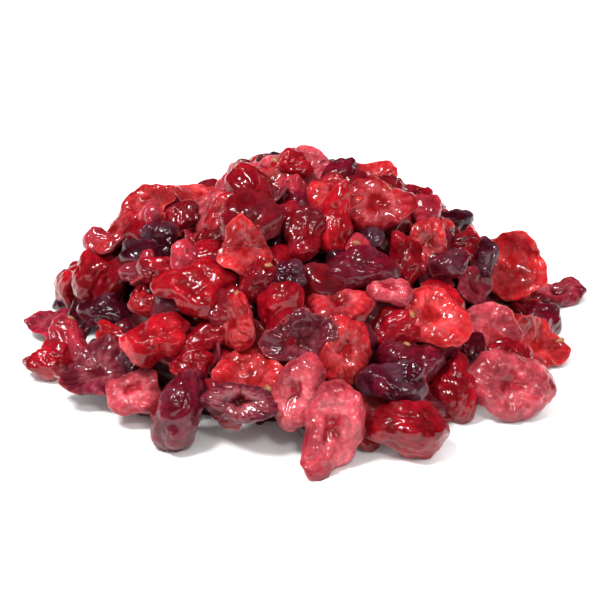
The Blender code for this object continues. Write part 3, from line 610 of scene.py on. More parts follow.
class Heap:
    """The pieces laid so far, and the balls that the next piece rests on."""

    def __init__(self):
        self.pieces = []
        self.middles = np.zeros((0, 3))
        self.radii = np.zeros(0)

    def rest_height(self, spots, radii):
        """The least height at which balls at these spots clear the ground, the core and the pieces laid."""
        core = core_top(spots[:, 0], spots[:, 1]) + PRESSED * radii
        height = (np.maximum(GROUND_PRESSED * radii, core) - spots[:, 2]).max()
        near = np.abs(self.middles[:, :2] - spots[:, :2].mean(0)).max(1) < NEIGHBOUR_REACH
        if near.any():
            others, reach = self.middles[near], PRESSED * (radii[:, None] + self.radii[near])
            apart = ((spots[:, None, :2] - others[None, :, :2]) ** 2).sum(2)
            top = others[:, 2] + np.sqrt(np.clip(reach**2 - apart, 0, None)) - spots[:, None, 2]
            height = max(height, np.where(apart < reach**2, top, height).max())
        return height

    def reaches(self, piece, balls):
        """True where a piece's balls reach well into the fused core or into the given balls."""
        spots = piece.balls_in_place()
        over_core = outness(spots[:, 0], spots[:, 1]) < HELD_REACH
        held_top = np.maximum(mound(spots[:, 0], spots[:, 1]) - HELD_DEPTH, HELD_LEVEL)
        if (over_core & (spots[:, 2] < held_top)).any():
            return True
        apart = np.linalg.norm(spots[:, None] - balls[:, :3], axis=2)
        return bool((apart < JOINED * (piece.ball_radii[:, None] + balls[:, 3])).any())

    def join_all(self):
        """Moves each fused piece that hangs apart down and towards the crest until it meets the rest."""
        loose = [piece for piece in self.pieces if piece.fused]
        loose.sort(key=lambda piece: outness(*piece.place[:2]))
        joined = np.zeros((0, 4))
        while loose:
            piece = next((piece for piece in loose if self.reaches(piece, joined)), None)
            if piece is None:
                piece = loose[0]
                piece.press_in(lambda moved: self.reaches(moved, joined))
            loose.remove(piece)
            joined = np.vstack([joined, np.column_stack([piece.balls_in_place(), piece.ball_radii])])

    def add(self, piece):
        """Keeps a piece that is laid, and its balls."""
        self.pieces.append(piece)
        self.middles = np.vstack([self.middles, piece.balls_in_place()])
        self.radii = np.concatenate([self.radii, piece.ball_radii])

    def lay_shown(self, shown):
        """Brings a piece down its line of sight, and leaves it where it first rests."""
        draw = random.Random(f"{shown.across_px} {shown.down_px}")
        piece = Piece(shown.kind, shown.length * MM, shown.width * MM, draw)
        piece.tone = shown.tone
        piece.divisions = FOOT_DIVISIONS if shown in FOOT else SHOWN_DIVISIONS
        piece.face(shown.lean, shown.towards, shown.spin)
        spots, ground = piece.turned_balls()
        base, ray, meets = meet_outline(shown.across_px, shown.down_px)
        for step in range(SLIDE_FIRST, SLIDE_LAST if meets else SLIDE_LAST_MISSED):
            place = base + ray * step * SLIDE_STEP
            high = place[2] - float(mound(place[0], place[1]))
            rest = self.rest_height(spots + [place[0], place[1], 0], piece.ball_radii)
            if place[2] <= ground or high < -SINK_IN or (rest > place[2] and high < STAND_OUT):
                break
        lifted = min(max(rest, place[2]), place[2] + SLIDE_STEP)
        place[2] = max(ground, lifted if meets else rest)
        piece.place = place
        piece.sight = ray
        self.add(piece)

    def lay_dropped(self, spot, layer, draw):
        """Drops a piece on a spot, and keeps the lowest of a few shifts and turns."""
        kind_name = draw.choices(list(KIND_SHARES), list(KIND_SHARES.values()))[0]
        piece = Piece(kind_name, draw.uniform(layer.shortest, layer.longest), None, draw)
        piece.fused = layer.fused
        piece.drawn = True
        piece.divisions = layer.divisions
        slope, bearing = downhill(*spot)
        lean = slope + draw.uniform(layer.lean_from, layer.lean_to)
        spin = draw.uniform(0, 180)
        lowest = None
        for _ in range(FALLS_TRIED):
            piece.face(lean + draw.uniform(-FALL_LEAN, FALL_LEAN),
                       bearing + draw.uniform(-FALL_TOWARDS, FALL_TOWARDS),
                       spin + draw.uniform(-FALL_SPIN, FALL_SPIN))
            x = spot[0] + draw.uniform(-FALL_SHIFT, FALL_SHIFT)
            y = spot[1] + draw.uniform(-FALL_SHIFT, FALL_SHIFT)
            spots, ground = piece.turned_balls()
            level = float(mound(x, y)) - layer.sink
            z = self.rest_height(spots + [x, y, 0], piece.ball_radii)
            z = max(ground, level - FALL_LIE_IN, min(z, level + FALL_STAND_OUT))
            if lowest is None or z < lowest[0][2]:
                lowest = (np.array([x, y, z]), piece.axes)
        piece.place, piece.axes = lowest
        self.add(piece)


def random_direction(draw):
    """A direction drawn evenly over a ball."""
    up = draw.uniform(-1, 1)
    turn = draw.uniform(0, 2 * math.pi)
    level = math.sqrt(1 - up * up)
    return np.array([level * math.cos(turn), level * math.sin(turn), up])


def sight_line(across_px, down_px):
    """The eye's place and the line of sight through a pixel of the photograph, in the frame of laying."""
    cos_angle, sin_angle = math.cos(VIEW_ANGLE), math.sin(VIEW_ANGLE)
    eye = VIEW_DISTANCE * np.array([0, -cos_angle, sin_angle])
    right = (across_px - VIEW_MIDDLE_PX) / VIEW_FOCAL_PX
    rise = (VIEW_MIDDLE_PX - down_px) / VIEW_FOCAL_PX
    ray = np.array([right, cos_angle + rise * sin_angle, rise * cos_angle - sin_angle])
    return eye, ray / np.linalg.norm(ray)


def meet_outline(across_px, down_px):
    """Where the line of sight through a pixel meets the outline or is closest, its way, and if it meets."""
    eye, ray = sight_line(across_px, down_px)
    along = eye + ray * VIEW_STEPS
    high = along[:, 2] - mound(along[:, 0], along[:, 1])
    under = np.nonzero(high <= 0)[0]
    if len(under):
        return along[under[0]], ray, True
    return along[np.argmin(high)], ray, False


def scatter(layer, taken, draw):
    """Spots for a layer over the heap, spaced from each other and clear of the taken ones."""
    spots = []
    for _ in range(SPOTS_TRIED):
        spot = (draw.uniform(CREST_X - LEFT_REACH, CREST_X + RIGHT_REACH),
                draw.uniform(CREST_Y - FRONT_REACH, CREST_Y + BACK_REACH))
        reach = layer.front if spot[1] < CREST_Y else layer.reach
        if outness(*spot) > reach or any(math.dist(spot, other) < layer.spacing for other in spots):
            continue
        if not any(math.dist(spot, other) < layer.clear for other in taken):
            spots.append(spot)
    return sorted(spots, key=lambda spot: float(mound(*spot)))


@functools.lru_cache(maxsize=1)
def lay_heap():
    """Lays the deep pieces, those that fill between, then the shown ones with those of the hidden sides."""
    draw = random.Random(LAYING_DRAW)
    heap = Heap()
    shown_pieces = FOOT + LEFT_SIDE + MIDDLE + RIGHT_SIDE + CREST
    taken = [tuple(meet_outline(shown.across_px, shown.down_px)[0][:2]) for shown in shown_pieces]
    for layer in (DEEP, BETWEEN):
        for spot in scatter(layer, taken, draw):
            heap.lay_dropped(spot, layer, draw)
    todo = [(float(mound(*spot)), shown) for spot, shown in zip(taken, shown_pieces)]
    todo += [(float(mound(*spot)), spot) for spot in scatter(HIDDEN_SIDES, taken, draw)]
    for _, item in sorted(todo, key=lambda pair: pair[0]):
        if isinstance(item, Shown):
            heap.lay_shown(item)
        else:
            heap.lay_dropped(item, HIDDEN_SIDES, draw)
    for piece in heap.pieces:
        if piece.drawn:
            piece.press_in(lambda moved: not moved.stands_out())
    heap.join_all()
    return heap.pieces


def linear(hex_colour):
    """An sRGB hex colour as linear red, green, blue and a full alpha."""
    channels = [int(hex_colour[start:start + 2], 16) / 255 for start in (1, 3, 5)]
    return [c / 12.92 if c <= 0.04045 else ((c + 0.055) / 1.055) ** 2.4 for c in channels] + [1.0]


def smoothstep(low, high, value):
    """0 below low, 1 above high and a soft step between."""
    share = np.clip((value - low) / (high - low), 0, 1)
    return share * share * (3 - 2 * share)


def waves(points, length, start):
    """Smooth noise between about -1 and 1 at each point, its crests about this length apart."""
    return np.array([noise.noise(point) for point in (points * (CREST_STEPS / length) + start).tolist()])


def blend(colour, other, share):
    """A colour at each point, brought towards another by a share that differs from point to point."""
    return colour + (np.array(other)[:3] - colour) * share[:, None]


@functools.lru_cache(maxsize=None)
def even_ball(divisions):
    """A unit ball of four-sided faces of nearly one size: its points and its faces."""
    ball = bmesh.new()
    bmesh.ops.create_cube(ball, size=2)
    bmesh.ops.subdivide_edges(ball, edges=ball.edges, cuts=divisions - 1, use_grid_fill=True)
    points = np.tan(np.array([vertex.co for vertex in ball.verts]) * math.pi / 4)
    points /= np.linalg.norm(points, axis=1, keepdims=True)
    faces = np.array([[vertex.index for vertex in face.verts] for face in ball.faces])
    ball.free()
    return points, faces


def vertex_normals(points, faces):
    """The outward direction at each point of a closed skin of four-sided faces."""
    corners = points[faces]
    across = np.cross(corners[:, 2] - corners[:, 0], corners[:, 3] - corners[:, 1])
    normals = np.zeros_like(points)
    for corner in range(4):
        np.add.at(normals, faces[:, corner], across)
    return normals / np.maximum(np.linalg.norm(normals, axis=1, keepdims=True), 1e-12)


def skin_cover(kind_name, up, out, unevenness):
    """Where the skin is, 1, and where the flesh shows, 0, on a piece of a kind."""
    bare, whole, raggedness = SKIN_ENDS[kind_name]
    place = {"slice": out, "lump": 0}.get(kind_name, up)
    return smoothstep(bare, whole, place + raggedness * unevenness)


class FinePiece:
    """A piece with its fine form, and what its material reads at each point."""

    def __init__(self, piece, looks, tone):
        self.piece = piece
        ball, self.faces = even_ball(piece.divisions)
        own = random.Random(f"{piece.place[0]:.6f} {piece.place[1]:.6f} {piece.place[2]:.6f}")
        start = np.array([own.uniform(0, LAST_START) for _ in range(3)])
        up = ball[:, 2]
        out = np.sqrt(np.clip(1 - np.abs(up), 0, 1))
        turn = np.arctan2(ball[:, 1], ball[:, 0])
        smooth = piece.form(ball)
        crumples = np.stack([waves(smooth, CRUMPLE_LENGTH, start + shift) for shift in CRUMPLE_STARTS], 1)
        nicks = np.stack([waves(smooth, NICK_LENGTH, start + shift) for shift in NICK_STARTS], 1)
        nick_depth = looks.nick * (NICKS_ALL_OVER + np.exp(-((up / RIM_BAND) ** 2)))
        limp = LIMPNESS.get(piece.kind_name, 1)
        body = smooth + looks.crumple * limp * crumples + nick_depth[:, None] * nicks
        normals = vertex_normals(body, self.faces)
        along = smooth * [FOLD_STRETCH, 1, 1] + FOLD_DRIFT * crumples
        unevenness = crumples[:, 0] + SECOND_CRUMPLES * crumples[:, 2]
        self.cover = skin_cover(piece.kind_name, up, out, unevenness)
        fold = np.abs(waves(along, FOLD_LENGTH, start + FOLD_START)) ** FOLD_ROUNDNESS
        crease = 1 - np.abs(waves(along, CREASE_LENGTH, start + CREASE_START)) * CREASE_SHARPNESS
        ripple = waves(smooth, RIPPLE_LENGTH, start + RIPPLE_START)
        rays = np.cos(own.randint(*RAY_COUNTS) * turn + RAY_DRIFT * crumples[:, 1]) * out**2 * RAY_DEPTH
        creases = CREASE_SHARE * np.clip(crease, CREASE_BOTTOM, 1)
        on_skin = looks.wrinkle_depth * (FOLD_SHARE * fold + creases - SKIN_LEVEL)
        on_flesh = looks.ripple_depth * ripple + rays + looks.wrinkle_depth * limp * (fold - FLESH_LEVEL)
        height = self.cover * on_skin + (1 - self.cover) * on_flesh
        height *= np.where(np.abs(up) < SIDE_BAND, SIDE_SMOOTHNESS, 1.0)
        points = (body + normals * height[:, None]) @ piece.axes.T + piece.place
        points -= [MIDDLE_X, MIDDLE_Y, 0]
        points[:, 2] = np.maximum(points[:, 2], 0)
        self.points = points
        self.colour = self.paint(looks, tone, up, out, turn, crumples, nicks, fold, own)

    def paint(self, looks, tone, up, out, turn, crumples, nicks, fold, own):
        """The colour at each point: flesh and skin of a tone, seed rooms in painted shade, pale fibres, rims
        in a painted glow of light and dull bloom with painted sheen.
        """
        flesh, skin = (np.array(getattr(looks, f"{tone}_{part}"))[:3] * own.uniform(*TONE_SPREAD)
                       for part in ("flesh", "skin"))
        colour = blend(flesh, skin, self.cover)
        room = SEED_ROOM + SEED_ROOM_LOBES * np.cos(self.piece.seed_rooms * turn + self.piece.seed_rooms_turn)
        room += SEED_ROOM_RAGS * (crumples[:, 2] + SEED_ROOM_NICKS * nicks[:, 1])
        is_cut = (1 - self.cover) * (up > 0) * CUT_KINDS.get(self.piece.kind_name, 0)
        in_room = smoothstep(room + SEED_ROOM_EDGE[0], room + SEED_ROOM_EDGE[1], out) * is_cut
        ring = np.exp(-(((out - room - RING_PLACE) / RING_SPREAD) ** 2)) * is_cut
        fibres = 0.5 + 0.5 * np.cos(own.randint(*FIBRE_COUNTS) * turn + FIBRE_DRIFT * crumples[:, 1])
        pale = RING_PALENESS * ring + FIBRE_PALENESS * fibres * is_cut * (1 - in_room)
        colour = blend(colour, looks.pale_flesh_and_rim_glow_colour, np.clip(pale, 0, 1))
        # Painted shade: the seed rooms are darkened as the shade inside their hollows.
        colour *= 1 - in_room[:, None] * SEED_ROOM_PAINTED_SHADE
        colour *= np.exp(UNEVEN_SHADE * (crumples[:, 1:2] + UNEVEN_NICKS * nicks[:, 2:3]))
        # Painted light: the thin rims are paled as a painted glow of light shining through them.
        rim = np.exp(-((up / RIM_WIDTH) ** 2)) * (RIM_EVENNESS + RIM_UNEVENNESS * crumples[:, 2])
        colour = blend(colour, looks.pale_flesh_and_rim_glow_colour, np.clip(rim * looks.rim_glow_strength, 0, 1))
        # A dull mauve bloom on the skin, which also stands in for a painted sheen: the soft reflection of the
        # room on the dark skins.
        dull = smoothstep(*BLOOM_AND_SHEEN_EDGE, crumples[:, 0] + BLOOM_AND_SHEEN_ON_FOLDS * fold) * self.cover
        colour = blend(colour, looks.bloom_and_sheen_colour, dull * BLOOM_AND_SHEEN_TONES.get(tone, 0))
        return np.clip(colour, 0, 1)


def choose_tones():
    """The tone of every piece: its own where it shows, else drawn, and darker, as painted shade, for those in
    the gaps.
    """
    draw = random.Random(TONE_DRAW)
    tones = []
    for piece in lay_heap():
        shares = TONE_SHARES if piece.fused else GAP_SHADE_TONE_SHARES
        tones.append(piece.tone or draw.choices(list(shares), list(shares.values()))[0])
    return tones


def join_fruit(kind_name):
    """All pieces of one kind as one mesh, with the colour and the skin's cover at each point."""
    looks = bpy.context.scene.cranberries
    fine = [FinePiece(piece, looks, tone) for piece, tone in zip(lay_heap(), choose_tones())
            if piece.kind_name == kind_name]
    starts = np.cumsum([0] + [len(one.points) for one in fine])
    mesh = bpy.data.meshes.new(f"cranberry_{kind_name}s")
    points = np.concatenate([one.points for one in fine])
    faces = np.concatenate([one.faces + start for one, start in zip(fine, starts)])
    mesh.from_pydata(points.tolist(), [], faces.tolist())
    colour = mesh.color_attributes.new("fruit_colour", "FLOAT_COLOR", "POINT")
    rgba = np.ones((len(points), 4))
    rgba[:, :3] = np.concatenate([one.colour for one in fine])
    colour.data.foreach_set("color", rgba.ravel())
    cover = mesh.attributes.new("skin_cover", "FLOAT", "POINT")
    cover.data.foreach_set("value", np.concatenate([one.cover for one in fine]))
    mesh.shade_smooth()
    mesh.update()
    return mesh


def finished_mesh(name, form, is_smooth=True):
    """The mesh of a finished form, which is freed."""
    mesh = bpy.data.meshes.new(name)
    form.to_mesh(mesh)
    form.free()
    if is_smooth:
        mesh.shade_smooth()
    return mesh


def new_object(mesh, material):
    """An object at the origin for a finished mesh."""
    mesh.materials.append(material)
    thing = bpy.data.objects.new(mesh.name, mesh)
    bpy.context.scene.collection.objects.link(thing)
    return thing


def place_piece(mesh, material):
    """Makes a finished piece, which rides on the heap's body and stands for its solid."""
    piece = new_object(mesh, material)
    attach(piece, BODY)
    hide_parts(NODE)


def core_mesh():
    """The core: a ball flattened to well under the outline, with lumps like those of pieces deep in shade."""
    core = bmesh.new()
    bmesh.ops.create_uvsphere(core, u_segments=CORE_SIDES, v_segments=CORE_RINGS, radius=1)
    for vertex in core.verts:
        up, turn = round(vertex.co.z, 5), math.atan2(vertex.co.y, vertex.co.x)
        out = (CORE_SHARE + CORE_BACK_SHARE * math.sin(turn)) * math.sqrt(1 - abs(up))
        x = CREST_X + out * math.cos(turn) * (LEFT_REACH if vertex.co.x < 0 else RIGHT_REACH)
        y = CREST_Y + out * math.sin(turn) * (FRONT_REACH if vertex.co.y < 0 else BACK_REACH)
        rise = abs(noise.noise(Vector((x, y, 0)) * CREST_STEPS / CORE_LUMPS)) - CORE_LUMP_LEVEL
        top = max(0, float(core_top(x, y)) + CORE_LUMP_HEIGHT * rise)
        vertex.co = (x - MIDDLE_X, y - MIDDLE_Y, top if up >= 0 else 0)
    return finished_mesh("deep_core", core)


def view_line(across_px, down_px):
    """The line of sight through a pixel of the photograph, in the finished frame."""
    eye, ray = sight_line(across_px, down_px)
    return Vector(eye - [MIDDLE_X, MIDDLE_Y, 0]), Vector(ray)


def seed_mesh(length):
    """Seeds half sunk in the fruit: the shown ones by their lines of sight, and more all round."""
    graph = bpy.context.evaluated_depsgraph_get()
    fruit = [bpy.data.objects[f"cranberry_{kind_name}s"] for kind_name in KINDS]
    trees = [bvhtree.BVHTree.FromObject(thing, graph) for thing in fruit]
    lines = [view_line(*spot) for spot in SEED_SPOTS]
    draw = random.Random(HUSK_DRAW)
    for _ in range(MORE_SEEDS):
        turn, out = draw.uniform(0, 2 * math.pi), math.sqrt(draw.random())
        across, along = math.cos(turn), math.sin(turn)
        above = Vector((SEED_REACH[0] * out * across, SEED_REACH[1] * out * along, SEED_FROM_HEIGHT))
        lines.append((above, Vector((SEED_SLANT * across, SEED_SLANT * along, -1)).normalized()))
    seeds = bmesh.new()
    for eye, ray in lines:
        hits = [tree.ray_cast(eye, ray) for tree in trees]
        hits = [hit for hit in hits if hit[0] is not None]
        if not hits:
            continue
        spot, normal = min(hits, key=lambda hit: hit[3])[:2]
        new = bmesh.ops.create_icosphere(seeds, subdivisions=2, radius=length / 2)["verts"]
        bmesh.ops.scale(seeds, vec=(1, SEED_WIDTH_SHARE, SEED_THICKNESS_SHARE), verts=new)
        for vertex in new:
            vertex.co.y *= 1 - SEED_TAPER * vertex.co.x / length
        turned = normal.to_track_quat("Z", "X").to_matrix().to_4x4()
        spin = draw.uniform(0, math.pi)
        bmesh.ops.rotate(seeds, verts=new, matrix=turned @ Matrix.Rotation(spin, 4, "Z"))
        bmesh.ops.translate(seeds, verts=new, vec=spot - normal * SEED_SUNK * length)
    return finished_mesh("seeds", seeds)


def set_sockets(tree, node, **sockets):
    """Sets or links a node's sockets, by name with _ for a space, or by _ and a number."""
    for name, value in sockets.items():
        socket = node.inputs[int(name[1:]) if name[1:].isdigit() else name.replace("_", " ")]
        if isinstance(value, bpy.types.NodeSocket):
            tree.links.new(value, socket)
        else:
            socket.default_value = value


def add_node(tree, kind, settings=None, **sockets):
    """Adds a node, gives it its settings, and sets or links its sockets."""
    new = tree.nodes.new(kind)
    for name, value in (settings or {}).items():
        setattr(new, name, value)
    set_sockets(tree, new, **sockets)
    return new


def new_material(name):
    """A node material, its tree, its shader and where a point is on the heap."""
    material = bpy.data.materials.new(name)
    material.use_nodes = True
    tree = material.node_tree
    place = add_node(tree, "ShaderNodeTexCoord").outputs["Object"]
    return material, tree, tree.nodes["Principled BSDF"], place


def fruit_material():
    """Dried cranberry, sliced, infused with sugar and oiled: dense red flesh under a leathery skin.

    Light goes a millimetre or two into the flesh and comes back redder. The oil gives small sharp highlights
    that break up on the wrinkles. The sugar leaves fine mottling, and pale grains where the flesh shows.
    """
    looks = bpy.context.scene.cranberries
    material, tree, shader, place = new_material("sugared_cranberry")
    colour = add_node(tree, "ShaderNodeAttribute", {"attribute_name": "fruit_colour"}).outputs["Color"]
    cover = add_node(tree, "ShaderNodeAttribute", {"attribute_name": "skin_cover"}).outputs["Fac"]
    mottle = add_node(tree, "ShaderNodeTexNoise", Vector=place, Scale=1 / MOTTLE_SIZE, Detail=5.0,
                      Roughness=0.75)
    shade = add_node(tree, "ShaderNodeMapRange", Value=mottle.outputs["Fac"],
                     From_Min=0.3, From_Max=0.7, To_Min=0.6, To_Max=1.3)
    mottled = add_node(tree, "ShaderNodeMix", {"data_type": "RGBA", "blend_type": "MULTIPLY"},
                       _0=1.0, _6=colour, _7=shade.outputs["Result"])
    sugar = add_node(tree, "ShaderNodeTexNoise", Vector=place, Scale=1 / SUGAR_SIZE, Detail=1.0)
    most = add_node(tree, "ShaderNodeMapRange", Value=cover, To_Min=0.6, To_Max=0.15)
    grains = add_node(tree, "ShaderNodeMapRange", Value=sugar.outputs["Fac"],
                      From_Min=0.50, From_Max=0.68, To_Min=0.0, To_Max=most.outputs["Result"])
    sugared = add_node(tree, "ShaderNodeMix", {"data_type": "RGBA", "blend_type": "MULTIPLY"},
                       _0=grains.outputs["Result"], _6=mottled.outputs[2], _7=SUGAR_TINT)
    oil = add_node(tree, "ShaderNodeTexNoise", Vector=place, Scale=1 / OIL_PATCH_SIZE, Detail=2.0)
    dull = add_node(tree, "ShaderNodeMapRange", Value=cover, To_Min=0.16, To_Max=0.0)
    wet = add_node(tree, "ShaderNodeMapRange", Value=oil.outputs["Fac"],
                   From_Min=0.3, From_Max=0.7, To_Min=0.22, To_Max=0.42)
    rough = add_node(tree, "ShaderNodeMath", {"operation": "ADD"},
                     _0=wet.outputs["Result"], _1=dull.outputs["Result"])
    grain = add_node(tree, "ShaderNodeTexNoise", Vector=place, Scale=1 / SKIN_GRAIN_SIZE, Detail=2.0,
                     Roughness=0.5)
    depth = add_node(tree, "ShaderNodeMapRange", Value=cover, To_Min=0.4, To_Max=0.6)
    bump = add_node(tree, "ShaderNodeBump", Height=grain.outputs["Fac"], Strength=depth.outputs["Result"],
                    Distance=SKIN_GRAIN_HEIGHT)
    set_sockets(tree, shader, Base_Color=sugared.outputs[2], Roughness=rough.outputs["Value"],
                Normal=bump.outputs["Normal"], Coat_Normal=bump.outputs["Normal"],
                IOR=1.42, Specular_IOR_Level=0.15, Coat_Weight=looks.oil, Coat_Roughness=0.09,
                Subsurface_Weight=looks.depth_of_light, Subsurface_Radius=LIGHT_REACH,
                Subsurface_Scale=LIGHT_REACH_LENGTH)
    return material


def patchy_material(name, patch_size, first_colour, second_colour, roughness):
    """A material whose colour changes between two, in patches of a real size."""
    material, tree, shader, place = new_material(name)
    patches = add_node(tree, "ShaderNodeTexNoise", Vector=place, Scale=1 / patch_size, Detail=2.0)
    colour = add_node(tree, "ShaderNodeMix", {"data_type": "RGBA"}, _0=patches.outputs["Fac"],
                      _6=linear(first_colour), _7=linear(second_colour))
    set_sockets(tree, shader, Base_Color=colour.outputs[2], Roughness=roughness)
    return material


def core_material():
    """Fruit deep between the pieces, coloured dark red as painted shade, with a dull wet sheen."""
    return patchy_material("fruit_in_shade", SHADE_SIZE, "#2A0510", "#5E0A16", 0.4)


def seed_material():
    """Cranberry seed: a hard tan husk, browner at its folds, with a satin sheen."""
    return patchy_material("seed_husk", HUSK_FOLD_SIZE, "#7A3A22", "#B07C50", 0.4)


def floor_material():
    """A matt white board: it throws light back up under the fruit, and takes a soft shadow."""
    return patchy_material("matt_white_board", FIBRE_SIZE, "#F7F6F6", "#FBFBFB", 0.9)


def tint(name, description, hex_colour):
    """A colour that a user can change."""
    return FloatVectorProperty(name=name, description=description, subtype="COLOR", size=4, min=0, max=1,
                               default=linear(hex_colour))


def amount(name, description, default, least=0, **kind):
    """A number that a user can change."""
    return FloatProperty(name=name, description=description, default=default, min=least, **kind)


class CranberrySettings(bpy.types.PropertyGroup):
    """The sizes and colours of the fruit."""

    crumple: amount("Crumple", "How far drying bent each piece out of its form", 0.95 * MM, unit="LENGTH")
    nick: amount("Nicks", "How ragged the rims are", 0.22 * MM, unit="LENGTH")
    wrinkle_depth: amount("Wrinkle depth", "Height of the skin's folds", 0.38 * MM, unit="LENGTH")
    ripple_depth: amount("Ripple depth", "Height of the ripples in the cut flesh", 0.22 * MM, unit="LENGTH")
    seed_length: amount("Seed length", "Length of a seed", 1.9 * MM, unit="LENGTH")
    oil: amount("Oil", "How much the surface is coated with oil", 0.62, max=1, subtype="FACTOR")
    depth_of_light: amount("Depth of light", "How much light enters the flesh", 0.6, max=1, subtype="FACTOR")
    # Painted light: this colour pales the thin rims as a painted glow of light shining through them, and also
    # gives the cut flesh its own pale ring and fibres.
    rim_glow_strength: amount("Rim paleness", "How pale the thin rims are", 0.45, max=1, subtype="FACTOR")
    pale_flesh_and_rim_glow_colour: tint("Rim", "Thin rims that light shines through", "#B1575E")
    # Bloom and painted sheen: this mauve also stands in for the soft reflection of the room on the dark
    # skins.
    bloom_and_sheen_colour: tint("Bloom", "Dull mauve bloom on the dark skins", "#654352")


for tone_name, tone_colours in TONES.items():
    for part_name, part_colour in zip(("flesh", "skin"), tone_colours):
        CranberrySettings.__annotations__[f"{tone_name}_{part_name}"] = tint(
            f"{tone_name.capitalize()} {part_name}", f"{part_name.capitalize()} of the {tone_name} pieces",
            part_colour)


class StageSettings(bpy.types.PropertyGroup):
    """The floor and the light."""

    key_power: amount("Key light", "Power of the main light above the front left", 5.6, unit="POWER")
    back_power: amount("Back light", "Power of the large light above the back right", 3.2, unit="POWER")
    glint_power: amount("Glint light", "Power of the small light that gives the glints", 1.3, unit="POWER")
    room_light: amount("Room light", "Brightness of the white surroundings", 0.8)
    floor_half: amount("Floor", "Half the side of the floor", 3.0, least=0.1, unit="LENGTH")


class FruitOperator:
    """Makes all pieces of one kind."""

    bl_options = {"REGISTER", "UNDO"}
    kind_name = ""

    def execute(self, context):
        material = bpy.data.materials.get("sugared_cranberry") or fruit_material()
        place_piece(join_fruit(self.kind_name), material)
        return {"FINISHED"}


class CRANBERRY_OT_slices(FruitOperator, bpy.types.Operator):
    """Flat slices with a hollow middle, skin only at their rim"""

    bl_idname = "cranberry.slices"
    bl_label = "Slices"
    kind_name = "slice"


class CRANBERRY_OT_caps(FruitOperator, bpy.types.Operator):
    """Domed ends with wrinkled skin on their outside"""

    bl_idname = "cranberry.caps"
    bl_label = "Caps"
    kind_name = "cap"


class CRANBERRY_OT_cups(FruitOperator, bpy.types.Operator):
    """Open cups that show their flesh"""

    bl_idname = "cranberry.cups"
    bl_label = "Cups"
    kind_name = "cup"


class CRANBERRY_OT_curls(FruitOperator, bpy.types.Operator):
    """Strips that dried into curls"""

    bl_idname = "cranberry.curls"
    bl_label = "Curls"
    kind_name = "curl"


class CRANBERRY_OT_lumps(FruitOperator, bpy.types.Operator):
    """Shrivelled lumps"""

    bl_idname = "cranberry.lumps"
    bl_label = "Lumps"
    kind_name = "lump"


class CRANBERRY_OT_seeds(bpy.types.Operator):
    """Seeds half sunk in the fruit"""

    bl_idname = "cranberry.seeds"
    bl_label = "Seeds"
    bl_options = {"REGISTER", "UNDO"}

    def execute(self, context):
        place_piece(seed_mesh(context.scene.cranberries.seed_length), seed_material())
        return {"FINISHED"}


class CRANBERRY_OT_core(bpy.types.Operator):
    """The heap's inside, in deep shade"""

    bl_idname = "cranberry.core"
    bl_label = "Core"
    bl_options = {"REGISTER", "UNDO"}

    def execute(self, context):
        place_piece(core_mesh(), core_material())
        return {"FINISHED"}


def hang_lamp(name, power, place, size, is_mirrored):
    """A square soft lamp over the heap, which wet surfaces mirror or not."""
    light = bpy.data.lights.new(name, "AREA")
    light.size = size
    light.energy = power
    lamp = bpy.data.objects.new(name, light)
    lamp.location = place
    lamp.rotation_euler = (Vector(LAMP_AIM) - Vector(place)).to_track_quat("-Z", "Y").to_euler()
    lamp.visible_glossy = is_mirrored
    bpy.context.scene.collection.objects.link(lamp)


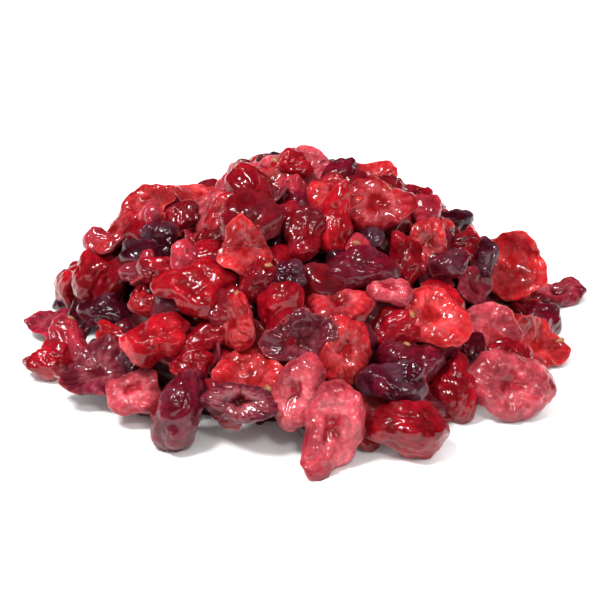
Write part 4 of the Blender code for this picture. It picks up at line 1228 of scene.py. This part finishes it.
class CRANBERRY_OT_stage(bpy.types.Operator):
    """The white floor, the soft lights and the camera at the photograph's angle"""

    bl_idname = "cranberry.stage"
    bl_label = "Stage"
    bl_options = {"REGISTER", "UNDO"}

    def execute(self, context):
        stage = context.scene.cranberry_stage
        floor = bmesh.new()
        bmesh.ops.create_grid(floor, x_segments=1, y_segments=1, size=stage.floor_half)
        board = new_object(finished_mesh("floor", floor, is_smooth=False), floor_material())
        for name, lamp in LAMPS.items():
            hang_lamp(f"{name}_light", getattr(stage, f"{name}_power"), *lamp)
        world = bpy.data.worlds.new("white_room")
        world.use_nodes = True
        set_sockets(world.node_tree, world.node_tree.nodes["Background"], Color=(1, 1, 1, 1),
                    Strength=stage.room_light)
        world.cycles_visibility.glossy = False
        context.scene.world = world
        camera = bpy.data.cameras.new("photo_view")
        camera.sensor_width = FILM_WIDTH
        camera.lens = FILM_WIDTH * VIEW_FOCAL_PX / (2 * VIEW_MIDDLE_PX)
        camera.clip_start = NEAREST_VIEW
        eye, ray = view_line(VIEW_MIDDLE_PX, VIEW_MIDDLE_PX)
        viewer = bpy.data.objects.new("photo_view", camera)
        viewer.location = eye
        viewer.rotation_euler = ray.to_track_quat("-Z", "Y").to_euler()
        context.scene.collection.objects.link(viewer)
        context.scene.camera = viewer
        context.scene.view_settings.view_transform = "Standard"
        return {"FINISHED"}


class CRANBERRY_PT_panel(bpy.types.Panel):
    """Buttons for each kind of piece, and their settings"""

    bl_idname = "CRANBERRY_PT_panel"
    bl_label = "Dried cranberries"
    bl_space_type = "VIEW_3D"
    bl_region_type = "UI"
    bl_category = "Cranberries"

    def draw(self, context):
        for operator in OPERATORS:
            self.layout.operator(operator.bl_idname)
        for settings in (context.scene.cranberries, context.scene.cranberry_stage):
            for name in type(settings).__annotations__:
                self.layout.prop(settings, name)


OPERATORS = (CRANBERRY_OT_core, CRANBERRY_OT_slices, CRANBERRY_OT_caps, CRANBERRY_OT_cups, CRANBERRY_OT_curls,
             CRANBERRY_OT_lumps, CRANBERRY_OT_seeds, CRANBERRY_OT_stage)
CLASSES = (CranberrySettings, StageSettings, *OPERATORS, CRANBERRY_PT_panel)


def register():
    """Registers the classes and hangs the settings on the scene."""
    for one in CLASSES:
        bpy.utils.register_class(one)
    bpy.types.Scene.cranberries = PointerProperty(type=CranberrySettings)
    bpy.types.Scene.cranberry_stage = PointerProperty(type=StageSettings)


def unregister():
    """Takes the settings and the classes away again."""
    del bpy.types.Scene.cranberry_stage
    del bpy.types.Scene.cranberries
    for one in reversed(CLASSES):
        bpy.utils.unregister_class(one)


def main():
    """Makes every piece and the stage."""
    register()
    bpy.ops.cranberry.core()
    bpy.ops.cranberry.slices()
    bpy.ops.cranberry.caps()
    bpy.ops.cranberry.cups()
    bpy.ops.cranberry.curls()
    bpy.ops.cranberry.lumps()
    bpy.ops.cranberry.seeds()
    bpy.ops.cranberry.stage()


if __name__ == "__main__":
    main()
